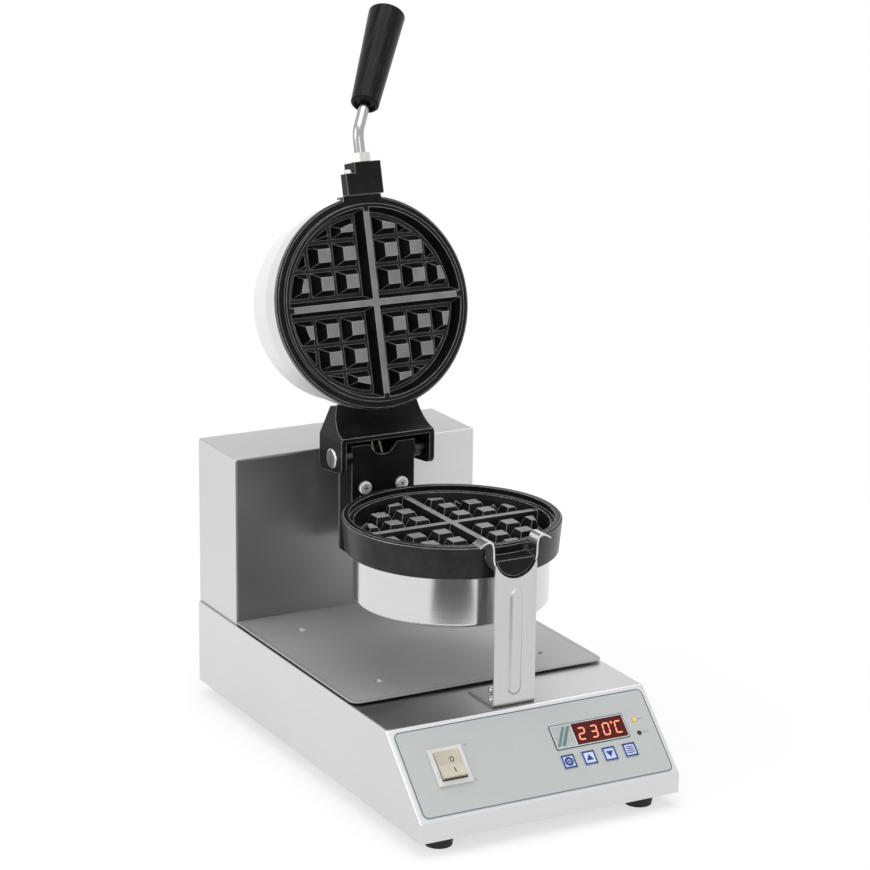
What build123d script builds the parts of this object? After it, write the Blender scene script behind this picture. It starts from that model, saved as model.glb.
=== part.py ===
from build123d import *
import math
import os

os.makedirs("parts", exist_ok=True)

# A countertop rotating waffle maker, drawn as the photograph shows it: the lid fully open.
# Millimetres. X runs to the right, Y to the back and Z up. The origin is on the table, under the
# middle of the outline. Heights are built up from the table and depths from the front lip.

# Base cabinet
base_width = 250.0
base_height = 77.5
foot_height = 12.0
lip_height = 17.0
slant_run = 62.5
sheet = 1.2
bend_radius = 2.4
return_lip = 12.0
seam_gap = 0.4

# Feet
foot_radius = 13.5
foot_tip_radius = 11.5
foot_side_inset = 28.0
foot_inset = 21.0

# Tower
tower_depth = 80.0
tower_gap = 24.5
tower_height = 156.0
tower_inset = 2.5

# Drip tray
tray_gap = 12.0
tray_lift = 3.0
tray_side_gap = 1.5
tray_corner = 9.0
tray_sheet = 1.0
dimple_radius = 5.0
dimple_inset = 43.5
dimple_front_inset = 40.0
dimple_back_inset = 47.0

# Irons
iron_lift = 137.5
parting_gap = 0.3
land = 7.1
collar_draft = 2.6
collar_height = 29.2
ring_edge = 1.6
cavity_radius = 85.0
cavity_draft = 3.5
nest_wall = 3.4
nest_height = 4.5
nest_clearance = 0.8
stud_gap = 2.4
stud_height = 12.5
stud_top = 12.0
stud_base = 21.4
groove = 3.5
divider_top = 5.6
divider_base = 13.2
plate_floor = 9.8
pocket_wall = 5.0
cap_step = 7.4
cap_height = 45.5
cap_sheet = 0.8
cap_edge = 3.5

# Heaters
heater_inset = 22.0
heater_tube = 4.0
heater_gap_angle = 34.0
insulation_gap = 0.5
insulation_thickness = 26.0
probe_radius = 3.0
probe_length = 16.0
probe_offset = 26.0

# Turning axis, journal and cradle
journal_drop = 5.3
journal_split = 8.7
journal_radius = 19.7
journal_length = 15.0
journal_edge = 1.6
running_gap = 0.3
cradle_sheet = 1.5
cradle_depth = 13.9
cradle_crest_out = 25.5
cradle_crest_up = 13.0
cradle_tip_out = 34.0
cradle_tip_up = 9.3

# Front post
post_setback = 68.0
post_width = 40.0
post_sheet = 1.5
post_foot = 44.0
horn_drop = 7.0
bead_width = 13.0
bead_height = 1.6
bead_bottom = 9.0
bead_top = 103.0
bead_round = 3.5
post_screw_rear = 36.0
post_screw_front = 15.0
post_screw_side = 12.0

# Lid hinge
hinge_gap = 38.5
hinge_lift = 22.0
lid_opening = 105.0
ear_outer = 46.9
ear_wall = 4.9
ear_front = 15.0
ear_back = 29.0
ear_below = 16.0
ear_rise = 4.5
ear_corner = 7.0
roof_under = 16.6
strip_height = 4.0
roof_step_back = 15.0
roof_step_up = 7.7
web_wall = 4.5
web_drop = 5.0
stop_width = 24.0
neck_half = 40.0
neck_height = 11.5
pin_radius = 4.0
pin_clearance = 0.05
pin_head_radius = 9.3
pin_head = 3.2
spacer_radius = 7.5

# Hinge bracket
bracket_half = 31.6
bracket_wall = 5.0
bracket_front = 5.3
bracket_depth = 23.8
bracket_above = 10.0
bracket_below = 92.0
notch_radius = 13.0
notch_depth = 10.5
notch_shoulder = 4.0
bracket_screw_side = 18.5
bracket_screw_drop = 2.2
bracket_boss_radius = 7.0
bracket_head_radius = 6.2
flange_plate = 3.0

# Rear shaft and bearings
shaft_radius = 15.0
shaft_bore_radius = 10.0
shaft_clearance = 0.5
bearing_plate = 3.0
bearing_half = 45.0
bearing_above = 22.0
bearing_span = 56.0
bush_wall = 3.0
bush_flange = 4.0
bush_length = 12.0
bush_flange_thickness = 2.5
shaft_nut_flats = 36.0
shaft_nut_thickness = 8.0
stop_orbit = 31.0
stop_pin_radius = 4.0
stop_pin_play = 0.1
stop_collar_radius = 21.0
stop_arm_reach = 35.0
stop_arm_width = 10.0
stop_collar_thickness = 12.0

# Lower iron's rear lug
lug_half = 24.0
lug_top = 14.5
lug_height = 14.0
lug_screw_side = 14.0

# Handle
block_reach = 30.0
block_radius = 19.3
block_half = 17.7
pad_half = 19.0
pad_height = 13.0
pad_proud = 0.8
block_notch = 9.5
rod_radius = 5.0
rod_above_axis = 3.3
rod_side = 1.7
rod_bend_out = 26.0
rod_bend_radius = 20.0
handle_bend = 37.0
handle_lean = 35.0
rod_free = 31.4
rod_grip_depth = 45.0
nut_flats = 17.0
nut_height = 8.0
grip_length = 111.0
grip_foot_radius = 12.9
grip_head_radius = 16.9
grip_dome = 7.0
grip_edge = 1.5
grip_recess_radius = 9.5
grip_recess_depth = 2.5

# Control panel, measured up the slope from its lower edge
label_margin = 4.5
label_low = 3.6
label_high = 83.2
label_corner = 6.0
label_thickness = 0.5
switch_inset = 39.5
switch_s = 45.6
bezel_width = 32.0
bezel_length = 34.0
bezel_proud = 2.2
rocker_width = 23.0
rocker_length = 25.0
rocker_gap = 0.6
rocker_tilt = 7.0
rocker_rise = 3.6
rocker_dish = 1.5
rocker_pivot = 3.0
rocker_skirt = 6.0
rocker_seat = 1.0
pivot_radius = 1.2
pivot_reach = 1.4
switch_body_depth = 24.0
tab_length = 8.0
tab_width = 6.3
tab_sheet = 0.8
tab_pitch = 9.0
display_inset = 64.1
display_s = 52.2
display_width = 71.6
display_height = 21.6
display_thickness = 1.0
digits_shift = 10.2
digits_width = 49.0
digits_height = 18.0
key_inset = 93.6
key_pitch = 20.1
key_s = 29.4
key_size = 12.4
key_gap = 0.3
key_proud = 0.6
key_travel = 0.5
key_switch_height = 5.0
key_switch_size = 6.0
chip_size = 14.0
chip_height = 4.0
led_proud = 0.4
led_inset = 18.2
led_s_high = 55.4
led_s_low = 42.9
led_radius = 2.0
board_depth = 16.0
board_thickness = 1.6
board_inset = 8.5
board_width = 100.0
board_low = 19.0
board_high = 70.0
standoff_radius = 3.0
standoff_inset = 4.0

# Hidden parts of the base
power_board_width = 90.0
power_board_depth = 120.0
power_board_lift = 10.0
power_board_back = 210.0
# Blocks on the power board: middle across, front edge, width, depth and height
transformer = (-21.0, 10.0, 34.0, 40.0, 28.0)
relay = (21.0, 12.0, 30.0, 18.0, 20.0)
connector_row = (0.0, 100.0, 60.0, 10.0, 12.0)
# Round capacitor on the power board, and the pillars under it
capacitor_radius = 8.0
capacitor_x = 22.0
capacitor_y = 50.0
capacitor_height = 24.0
pillar_inset = 5.0
# How far parts of one solid sink into each other
joint_bite = 0.1
terminal_width = 60.0
terminal_depth = 22.0
terminal_height = 20.0
terminal_from_back = 60.0
terminal_poles = 4
terminal_screw_radius = 3.0
terminal_wire_radius = 2.2
terminal_wire_height = 8.0
vent_length = 34.0
vent_width = 4.0
vent_pitch = 11.0
vent_count = 7

# Cable gland and back cover
gland_reach = 24.0
gland_inset = 45.0
gland_height = 38.0
gland_bore_radius = 3.9
gland_flats = 22.0
gland_flange = 5.0
gland_thread_radius = 8.0
gland_inside = 12.0
louvre_count = 6
louvre_length = 120.0
louvre_width = 3.5
louvre_pitch = 11.0

# Screws
small_screw = 2.0
small_head = 3.8
small_head_height = 2.2
large_screw = 3.0
large_head = 5.7
large_head_height = 3.2
screw_slack = 0.2

# Places that follow from the sizes
nest_radius = cavity_radius + nest_wall
ring_radius = nest_radius + land
collar_radius = ring_radius - collar_draft
cap_radius = collar_radius - cap_step
pocket_radius = cavity_radius - pocket_wall
heater_radius = pocket_radius - heater_inset
iron_setback = post_setback + post_sheet + journal_length + ring_radius
hinge_setback = ring_radius + hinge_gap
shaft_setback = iron_setback + hinge_setback - bracket_front + bracket_depth + flange_plate
base_depth = shaft_setback + tower_gap + tower_depth
front_y = -(base_depth + gland_reach) / 2
back_y = front_y + base_depth
base_z = foot_height
deck_z = base_z + base_height
lip_z = base_z + lip_height
tower_front = back_y - tower_depth
tower_half = base_width / 2 - tower_inset
tower_top = deck_z + tower_height
iron_y = front_y + iron_setback
parting_z = deck_z + iron_lift
upper_z = parting_z + parting_gap
axis_z = parting_z - journal_drop
hinge_y = iron_y + hinge_setback
hinge_z = parting_z + hinge_lift
hinge_axis = Axis((0, hinge_y, hinge_z), (-1, 0, 0))
lower_sink = nest_height + stud_gap
bracket_y = hinge_y - bracket_front
flange_y = bracket_y + bracket_depth
shaft_y = flange_y + flange_plate
post_y = front_y + post_setback
label_half = base_width / 2 - label_margin
foot_side = base_width / 2 - foot_side_inset
gland_x = gland_inset - base_width / 2
switch_x = switch_inset - label_half
display_x = label_half - display_inset
digits_x = display_x + digits_shift
key_first_x = label_half - key_inset
led_x = label_half - led_inset
board_right = label_half - board_inset
board_left = board_right - board_width
slant_angle = math.degrees(math.atan2(base_height - lip_height, slant_run))
panel = Plane(
    origin=(0, front_y, lip_z),
    x_dir=(1, 0, 0),
    z_dir=(0, -math.sin(math.radians(slant_angle)), math.cos(math.radians(slant_angle))),
)
panel_normal = Axis((0, 0, 0), panel.z_dir)
parts = {}


def add(name, *solids):
    parts[name] = list(solids)


def swing(shape):
    """Turn a lid piece from the closed place to the open one."""
    return shape.rotate(hinge_axis, lid_opening)


def block(x, y, z):
    """A box between pairs of limits."""
    size = Box(x[1] - x[0], y[1] - y[0], z[1] - z[0])
    return Pos((x[0] + x[1]) / 2, (y[0] + y[1]) / 2, (z[0] + z[1]) / 2) * size


def rod_z(radius, x, y, low, high):
    return Pos(x, y, (low + high) / 2) * Cylinder(radius, high - low)


def rod_y(radius, x, z, near, far):
    return Pos(x, (near + far) / 2, z) * Rot(X=90) * Cylinder(radius, far - near)


def rod_x(radius, y, z, left, right):
    return Pos((left + right) / 2, y, z) * Rot(Y=90) * Cylinder(radius, right - left)


def on_panel(x, s, low, high, width, length):
    """A box standing square on the slanted panel, between two heights above its sheet."""
    return panel * Pos(x, s, (low + high) / 2) * Box(width, length, high - low)


def pan_screw(radius, head, head_height, length):
    """A pan-head screw along Z, its head above zero and its shank below."""
    dome = Pos(0, 0, head_height / 2) * Cylinder(head, head_height)
    dome = fillet(dome.edges().sort_by(Axis.Z)[-1], head_height * 0.6)
    return dome + Pos(0, 0, -length / 2) * Cylinder(radius, length)


def small_screw_at(place, length):
    return place * pan_screw(small_screw, small_head, small_head_height, length)


# Base cabinet: one folded sheet with a slanted front, open below
def build_base_shell():
    outline = Polyline(
        (0, front_y, base_z),
        (0, front_y, lip_z),
        (0, front_y + slant_run, deck_z),
        (0, back_y, deck_z),
        (0, back_y, base_z),
        close=True,
    )
    body = extrude(make_face(outline), amount=base_width / 2, dir=(1, 0, 0), both=True)
    folds = body.edges().filter_by(lambda edge: edge.center().Z > base_z + 1)
    body = fillet(folds, bend_radius)
    shell = offset(body, amount=-sheet, openings=body.faces().sort_by(Axis.Z)[0])
    inner = base_width / 2 - sheet
    lip_z_range = (base_z + sheet, base_z + 2 * sheet)
    for side in (-1, 1):
        across = sorted((side * (inner + sheet / 2), side * (inner - return_lip)))
        shell += block(across, (front_y + sheet / 2, back_y - sheet / 2), lip_z_range)
        for y in bottom_screw_rows:
            shell -= rod_z(small_screw + screw_slack, side * bottom_screw_x, y, base_z, base_z + 3 * sheet)
    body_half = bezel_width / 2 - 2.5
    body_long = bezel_length / 2 - 2.0
    cuts = [on_panel(switch_x, switch_s, -3 * sheet, sheet, 2 * body_half + 0.4, 2 * body_long + 0.4)]
    cuts.append(on_panel(digits_x, display_s, -3 * sheet, sheet, digits_width, digits_height))
    for key_x in key_places:
        cuts.append(on_panel(key_x, key_s, -3 * sheet, sheet, key_size + 2 * key_gap, key_size + 2 * key_gap))
    for led_s in (led_s_low, led_s_high):
        cuts.append(panel * Pos(led_x, led_s, 0) * Cylinder(led_radius + screw_slack, 6 * sheet))
    for x, y in post_screw_places:
        cuts.append(rod_z(small_screw + screw_slack, x, y, deck_z - 3 * sheet, deck_z + sheet))
    for x, y in frame_bolt_places:
        cuts.append(rod_z(large_screw + screw_slack, x, y, deck_z - 3 * sheet, deck_z + sheet))
    wire_hole_y = tower_front + tower_depth / 2
    cuts.append(rod_z(shaft_bore_radius, bearing_half + 22, wire_hole_y, deck_z - 3 * sheet, deck_z + sheet))
    gland_cut = gland_thread_radius + screw_slack
    cuts.append(rod_y(gland_cut, gland_x, gland_height, back_y - 3 * sheet, back_y + sheet))
    for cut in cuts:
        shell -= cut
    return shell


bottom_screw_x = base_width / 2 - sheet - return_lip / 2
bottom_screw_rows = [front_y + base_depth * share for share in (0.16, 0.5, 0.84)]
key_places = [key_first_x + key_pitch * step for step in range(4)]
post_screw_places = [
    (0, post_y + post_screw_rear),
    (-post_screw_side, post_y + post_screw_front),
    (post_screw_side, post_y + post_screw_front),
]
frame_front = tower_front + sheet + running_gap
frame_back = frame_front + bearing_span
frame_bolt_places = [
    (x, y)
    for x in (-bearing_half * 0.6, bearing_half * 0.6)
    for y in (frame_front + bearing_span * 0.3, frame_front + bearing_span * 0.7)
]
foot_places = [
    (x, y)
    for x in (-foot_side, foot_side)
    for y in (front_y + foot_inset, back_y - foot_inset)
]
add("base_shell", build_base_shell())


# Bottom plate with two rows of vent slots
def build_bottom_plate():
    half = base_width / 2 - sheet - seam_gap
    margin = sheet + seam_gap
    plate = block((-half, half), (front_y + margin, back_y - margin), (base_z, base_z + sheet))
    slot = extrude(SlotOverall(vent_length, vent_width), amount=sheet, both=True)
    for row in (-1, 1):
        for step in range(vent_count):
            x = row * base_width / 5
            y = front_y + base_depth / 2 + (step - (vent_count - 1) / 2) * vent_pitch
            plate -= Pos(x, y, base_z + sheet / 2) * slot
    for x, y in foot_places:
        plate -= rod_z(large_screw + screw_slack, x, y, base_z - sheet, base_z + 2 * sheet)
    for side in (-1, 1):
        for y in bottom_screw_rows:
            hole_x = side * bottom_screw_x
            plate -= rod_z(small_screw + screw_slack, hole_x, y, base_z - sheet, base_z + 2 * sheet)
    return plate


add("bottom_plate", build_bottom_plate())
add(
    "bottom_screws",
    *[
        small_screw_at(Pos(side * bottom_screw_x, y, base_z) * Rot(X=180), 6)
        for side in (-1, 1)
        for y in bottom_screw_rows
    ],
)

# Rubber feet, each on one screw with its nut inside the base
foot_profile = Polyline(
    (large_screw + screw_slack, 0, foot_height),
    (foot_radius, 0, foot_height),
    (foot_tip_radius, 0, 0),
    (large_head + 1.0, 0, 0),
    (large_head + 0.5, 0, foot_height / 2),
    (large_screw + screw_slack, 0, foot_height / 2),
    close=True,
)
foot = revolve(make_face(foot_profile), Axis.Z)
foot_screw = Pos(0, 0, foot_height / 2) * Rot(X=180) * pan_screw(
    large_screw, large_head, large_head_height, foot_height / 2 + sheet + 6
)
foot_nut = Pos(0, 0, base_z + sheet) * extrude(
    RegularPolygon(5.0, 6, major_radius=False) - Circle(large_screw + pin_clearance), amount=4.5
)
add("rubber_feet", *[Pos(x, y, 0) * foot for x, y in foot_places])
add("foot_screws", *[Pos(x, y, 0) * piece for x, y in foot_places for piece in (foot_screw, foot_nut)])


# Tower: a folded cover over the bearings, closed behind by a louvred plate
def build_tower_shell():
    body = block((-tower_half, tower_half), (tower_front, back_y), (deck_z, tower_top))
    top_edges = body.edges().filter_by(lambda edge: edge.center().Z > tower_top - 1)
    folds = top_edges.filter_by(lambda edge: edge.center().Y < back_y - 1)
    body = fillet(folds + body.edges().filter_by(Axis.Z).sort_by(Axis.Y)[:2], bend_radius)
    inner = tower_half - sheet
    hollow = block((-inner, inner), (tower_front + sheet, back_y + sheet), (deck_z - sheet, tower_top - sheet))
    shell = body - hollow
    for side in (-1, 1):
        across = sorted((side * (inner + sheet / 2), side * (inner - return_lip)))
        shell += block(across, (back_y - 2 * sheet, back_y - sheet), (deck_z, tower_top - sheet / 2))
        shell += block(across, (tower_front + sheet, back_y - 2 * sheet), (deck_z, deck_z + sheet))
    shell -= rod_y(shaft_radius + shaft_clearance, 0, axis_z, tower_front - sheet, tower_front + 2 * sheet)
    for x, z in cover_screw_places:
        shell -= rod_y(small_screw + screw_slack, x, z, back_y - 3 * sheet, back_y)
    return shell


cover_screw_x = tower_half - sheet - return_lip / 2
cover_screw_places = [
    (side * cover_screw_x, deck_z + tower_height * share) for side in (-1, 1) for share in (0.1, 0.5, 0.9)
]
add("tower_shell", build_tower_shell())

cover_half = tower_half - sheet - seam_gap
cover_top = tower_top - sheet - seam_gap
back_cover = block((-cover_half, cover_half), (back_y - sheet, back_y), (deck_z + seam_gap, cover_top))
louvre = extrude(SlotOverall(louvre_length, louvre_width), amount=2 * sheet, both=True)
for step in range(louvre_count):
    louvre_z = (deck_z + tower_top) / 2 + (step - (louvre_count - 1) / 2) * louvre_pitch
    back_cover -= Pos(0, back_y - sheet / 2, louvre_z) * Rot(X=90) * louvre
for x, z in cover_screw_places:
    back_cover -= rod_y(small_screw + screw_slack, x, z, back_y - 2 * sheet, back_y + sheet)
add("tower_back_cover", back_cover)
add(
    "back_cover_screws",
    *[small_screw_at(Pos(x, back_y, z) * Rot(X=-90), 6) for x, z in cover_screw_places],
)

# Cable gland in the back wall of the base, with its lock nut inside
gland_nut_z = Pos(gland_x, back_y, gland_height) * Rot(X=-90)
gland_body = extrude(RegularPolygon(gland_flats / 2, 6, major_radius=False), amount=gland_flange)
gland_dome_length = gland_reach - gland_flange
gland_dome = Pos(0, 0, (gland_flange + gland_reach) / 2) * Cylinder(gland_flats / 2 - 1, gland_dome_length)
gland_dome = fillet(gland_dome.edges().sort_by(Axis.Z)[-1], 4.0)
gland_thread = Pos(0, 0, -gland_inside / 2) * Cylinder(gland_thread_radius, gland_inside)
gland_hole = Cylinder(gland_bore_radius, 4 * gland_reach)
gland_lock = RegularPolygon(gland_flats / 2, 6, major_radius=False) - Circle(gland_thread_radius + pin_clearance)
gland_lock = extrude(gland_lock, amount=-4.0)
add(
    "cable_gland",
    gland_nut_z * (gland_body + gland_dome + gland_thread - gland_hole),
    gland_nut_z * Pos(0, 0, -sheet) * gland_lock,
)


# Drip tray on four pressed dimples
def build_drip_tray():
    half = base_width / 2 - tray_side_gap
    y_low = post_y + post_foot + tray_gap
    top = deck_z + tray_lift
    plate = block((-half, half), (y_low, tower_front - running_gap), (top - tray_sheet, top))
    plate = fillet(plate.edges().filter_by(Axis.Z).sort_by(Axis.Y)[:2], tray_corner)
    for x, y in tray_dimples:
        depth = tray_lift - tray_sheet
        cup = Pos(x, y, deck_z + depth / 2) * Cone(dimple_radius * 0.5, dimple_radius, depth)
        plate += cup
        plate -= Pos(x, y, top - depth / 2) * Cone(dimple_radius * 0.35, dimple_radius * 0.85, depth)
    return plate


tray_dimples = [
    (side * (base_width / 2 - tray_side_gap - dimple_inset), y)
    for side in (-1, 1)
    for y in (post_y + post_foot + tray_gap + dimple_front_inset, tower_front - dimple_back_inset)
]
add("drip_tray", build_drip_tray())


# Front post: an L of sheet with a pressed bead, cut to a saddle for the cradle
def build_front_post():
    across = (-post_width / 2, post_width / 2)
    leaf = block(across, (post_y, post_y + post_sheet), (deck_z, axis_z - horn_drop))
    foot_leaf = block(across, (post_y, post_y + post_foot), (deck_z, deck_z + post_sheet))
    post = leaf + foot_leaf
    bends = post.edges().filter_by(Axis.X).sort_by(lambda edge: edge.center().Y + edge.center().Z)
    post = fillet(bends[0], post_sheet)
    bead = SlotCenterToCenter(bead_top - bead_bottom - bead_width, bead_width)
    bead_plane = Plane(origin=(0, post_y, 0), x_dir=(0, 0, 1), z_dir=(0, -1, 0))
    bead_center = deck_z + (bead_top + bead_bottom) / 2
    ridge = extrude(bead_plane * Pos(bead_center, 0, 0) * bead, amount=bead_height, taper=45)
    post += fillet(ridge.faces().sort_by(Axis.Y)[0].edges(), bead_round)
    inner_bead = SlotCenterToCenter(bead_top - bead_bottom - bead_width, bead_width - 2 * post_sheet)
    inner_plane = Plane(origin=(0, post_y + post_sheet, 0), x_dir=(0, 0, 1), z_dir=(0, -1, 0))
    post -= extrude(inner_plane * Pos(bead_center, 0, 0) * inner_bead, amount=bead_height, taper=45)
    post -= rod_y(journal_radius + running_gap, 0, axis_z, post_y - 2 * bead_height, post_y + 3 * post_sheet)
    for x, y in post_screw_places:
        post -= rod_z(small_screw + screw_slack, x, y, deck_z - sheet, deck_z + 2 * post_sheet)
    return post


add("front_post", build_front_post())
add("post_screws", *[small_screw_at(Pos(x, y, deck_z + post_sheet), 6) for x, y in post_screw_places])


# Cradle: a bent strip that takes the journal, with its lips rolled outwards
def cradle_path(offset_out):
    """The strip's line in the X-Z plane, seen from the front, shifted square to itself."""
    radius = journal_radius + running_gap + offset_out
    crest = (cradle_crest_out + offset_out * 0.5 - 1.2, cradle_crest_up + cradle_sheet - offset_out)
    tip_low = cradle_tip_up + cradle_sheet - offset_out
    right = Spline(
        (radius, 0, 0),
        (crest[0], 0, crest[1]),
        (cradle_tip_out, 0, tip_low),
        tangents=((0, 0, 1), (1, 0, -0.8)),
    )
    bowl = ThreePointArc((radius, 0, 0), (0, 0, -radius), (-radius, 0, 0))
    return right, bowl, mirror(right, Plane.YZ)


def build_cradle_strip():
    right_in, bowl_in, left_in = cradle_path(0)
    right_out, bowl_out, left_out = cradle_path(cradle_sheet)
    end_right = Line(right_in @ 1, right_out @ 1)
    end_left = Line(left_in @ 1, left_out @ 1)
    face = make_face([right_in, bowl_in, left_in, end_left, left_out, bowl_out, right_out, end_right])
    strip = extrude(face, amount=cradle_depth, dir=(0, 1, 0))
    return Pos(0, cradle_front, axis_z) * strip


cradle_front = iron_y - ring_radius - journal_length
add("cradle_strip", build_cradle_strip())


# Grid plates: a field of steep studs, four quarters between dividers, in a round cavity
def stud_field(floor, height):
    """Studs and dividers that stand on the plane z = floor, up to floor + height."""
    foot = Pos(0, 0, floor) * Rectangle(stud_base, stud_base)
    crown = Pos(0, 0, floor + height) * Rectangle(stud_top, stud_top)
    stud = loft([foot, crown])
    first = divider_base / 2 + groove + stud_base / 2
    pitch = stud_base + groove
    studs = []
    for column in range(3):
        for row in range(3):
            x = first + column * pitch
            y = first + row * pitch
            if math.hypot(x - stud_base / 2, y - stud_base / 2) < field_radius:
                studs += [Pos(sx * x, sy * y, 0) * stud for sx in (-1, 1) for sy in (-1, 1)]
    limit = Pos(0, 0, floor + height / 2) * Cone(field_radius, field_radius - stud_draft, height)
    trimmed = [piece & limit for piece in studs]
    ridge_face = Polyline(
        (0, -divider_base / 2, floor),
        (0, divider_base / 2, floor),
        (0, divider_top / 2, floor + height),
        (0, -divider_top / 2, floor + height),
        close=True,
    )
    ridge = extrude(make_face(ridge_face), amount=cavity_radius, dir=(1, 0, 0), both=True)
    bowl = Pos(0, 0, floor + height / 2) * Cone(
        cavity_radius - cavity_draft + 0.5, cavity_radius + 0.5, height
    )
    cross = (ridge + Rot(Z=90) * ridge) & bowl
    return trimmed, cross


stud_draft = (stud_base - stud_top) / 2
field_radius = cavity_radius - cavity_draft - groove


def ring_profile(points):
    return revolve(make_face(Polyline(*[(r, 0, z) for r, z in points], close=True)), Axis.Z)


def build_lower_plate():
    floor = -(lower_sink + stud_height)
    nest_out = nest_radius + nest_clearance
    nest_down = -(nest_height + nest_clearance)
    plate = ring_profile(
        [
            (0, -collar_height),
            (collar_radius, -collar_height),
            (ring_radius, -ring_edge),
            (ring_radius - ring_edge, 0),
            (nest_out, 0),
            (nest_out, nest_down),
            (cavity_radius, nest_down),
            (cavity_radius - cavity_draft, floor),
            (0, floor),
        ]
    )
    trimmed, cross = stud_field(floor, stud_height)
    plate = plate + cross + trimmed
    reach = ring_radius + journal_length
    journal = rod_y(journal_radius, 0, -journal_drop, -reach, -nest_out - 1.5)
    journal = chamfer(journal.edges().sort_by(Axis.Y)[0], journal_edge)
    flat = -journal_split - parting_gap / 2
    journal &= block((-journal_radius, journal_radius), (-2 * reach, 0), (-2 * journal_radius, flat))
    plate += journal
    lug_back = bracket_y - iron_y
    lug = block((-lug_half, lug_half), (cavity_radius, lug_back), (-lug_top - lug_height, -lug_top))
    inside = collar_radius - 4
    lug -= ring_profile([(0, -collar_height), (inside, -collar_height), (inside, 0), (0, 0)])
    plate += lug
    for side in (-1, 1):
        lug_screw_x = side * lug_screw_side
        plate -= rod_y(large_screw + pin_clearance, lug_screw_x, lug_screw_z, lug_back - 14, lug_back + 1)
    plate -= rod_z(large_screw + pin_clearance, 0, 0, -collar_height - 1, -collar_height + 6)
    return Pos(0, iron_y, parting_z) * plate


lug_screw_z = -lug_top - lug_height / 2


def build_upper_disc():
    floor = stud_height - nest_height
    pocket = floor + plate_floor
    plate = ring_profile(
        [
            (0, pocket),
            (pocket_radius, pocket),
            (pocket_radius, collar_height),
            (collar_radius, collar_height),
            (ring_radius, ring_edge),
            (ring_radius - ring_edge, 0),
            (nest_radius, 0),
            (nest_radius, -nest_height),
            (cavity_radius, -nest_height),
            (cavity_radius - cavity_draft, floor),
            (0, floor),
        ]
    )
    trimmed, cross = stud_field(-floor, stud_height)
    flip = Rot(X=180)
    plate = plate + flip * cross + [flip * piece for piece in trimmed]
    pad_front = -ring_radius - pad_proud
    pad = block((-pad_half, pad_half), (pad_front, -nest_radius - 1), (0, pad_height))
    pad = chamfer(pad.edges().filter_by(Axis.Z).sort_by(Axis.Y)[:2], pad_proud)
    plate += pad
    plate -= rod_z(large_screw + pin_clearance, 0, 0, pocket - 6, pocket + 1)
    return Pos(0, iron_y, upper_z) * plate


def swung(dy, dz):
    """Where a point of the closed lid, counted from the hinge axis, lies once the lid is open."""
    turn = math.radians(lid_opening)
    return (dy * math.cos(turn) + dz * math.sin(turn), -dy * math.sin(turn) + dz * math.cos(turn))


def build_hinge_arm():
    """The lid's neck and ears, square to the table when the lid leans on its stop."""
    collar_back = swung(iron_y + collar_radius - 6 - hinge_y, upper_z + collar_height - hinge_z)
    collar_under = swung(iron_y + collar_radius - 6 - hinge_y, upper_z + collar_height - neck_height - hinge_z)
    strip_top = roof_under + strip_height
    side = Polyline(
        collar_under,
        collar_back,
        (ear_back, roof_under),
        (ear_back, -ear_below),
        (-ear_front, ear_rise - ear_below),
        (-ear_front, strip_top),
    )
    scoop = ThreePointArc(side @ 1, (roof_step_back - ear_front, strip_top + roof_step_up), side @ 0)
    place = Plane(origin=(0, hinge_y, hinge_z), x_dir=(0, 1, 0), z_dir=(1, 0, 0))
    arm = extrude(place * make_face([side, scoop]), amount=ear_outer, both=True)
    arm = fillet(arm.edges().filter_by(Axis.X).sort_by(Axis.Z)[:2], ear_corner)
    neck_end = max(collar_back[1], collar_under[1])
    taper = Polyline(
        (-ear_outer, -ear_below - 1),
        (ear_outer, -ear_below - 1),
        (ear_outer, strip_top - strip_height),
        (neck_half, neck_end),
        (-neck_half, neck_end),
        (-ear_outer, strip_top - strip_height),
        close=True,
    )
    front = Plane(origin=(0, hinge_y, hinge_z), x_dir=(1, 0, 0), z_dir=(0, -1, 0))
    arm &= extrude(front * make_face(taper), amount=4 * ear_back, both=True)
    inner = ear_outer - ear_wall
    web_face = hinge_y + ear_back - web_wall
    below = hinge_z - 2 * ear_below
    arm -= block((-inner, inner), (hinge_y - 2 * ear_front, web_face), (below, hinge_z + roof_under))
    arm -= block((-inner, inner), (web_face - 1, hinge_y + 2 * ear_back), (below, hinge_z - web_drop))
    stop_face = shaft_y + running_gap
    arm += block((-stop_width / 2, stop_width / 2), (stop_face, web_face), (hinge_z - web_drop, hinge_z - 1))
    arm -= rod_x(pin_radius + pin_clearance, hinge_y, hinge_z, -2 * ear_outer, 2 * ear_outer)
    return arm


lower_plate = build_lower_plate()
add("lower_grid_plate", lower_plate)
upper_disc = swing(build_upper_disc())
arm_room = swing(Pos(0, iron_y, upper_z) * rod_z(pocket_radius, 0, 0, -2 * collar_height, 4 * collar_height))
cap_room = swing(Pos(0, iron_y, upper_z) * rod_z(cap_radius + 0.6, 0, 0, collar_height, 4 * collar_height))
add("upper_grid_plate", upper_disc + (build_hinge_arm() - arm_room - cap_room))


# Steel caps, heaters, insulation, probes and centre bolts of the two irons
def cup(radius, height, wall, edge):
    """A drum open at z = 0 and closed at z = -height."""
    body = rod_z(radius, 0, 0, -height, 0)
    body = fillet(body.edges().sort_by(Axis.Z)[0], edge)
    core = rod_z(radius - wall, 0, 0, -height + wall, wall)
    core = fillet(core.edges().sort_by(Axis.Z)[0], edge - wall)
    return body - core - rod_z(large_screw + screw_slack, 0, 0, -height - 1, 0)


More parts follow.
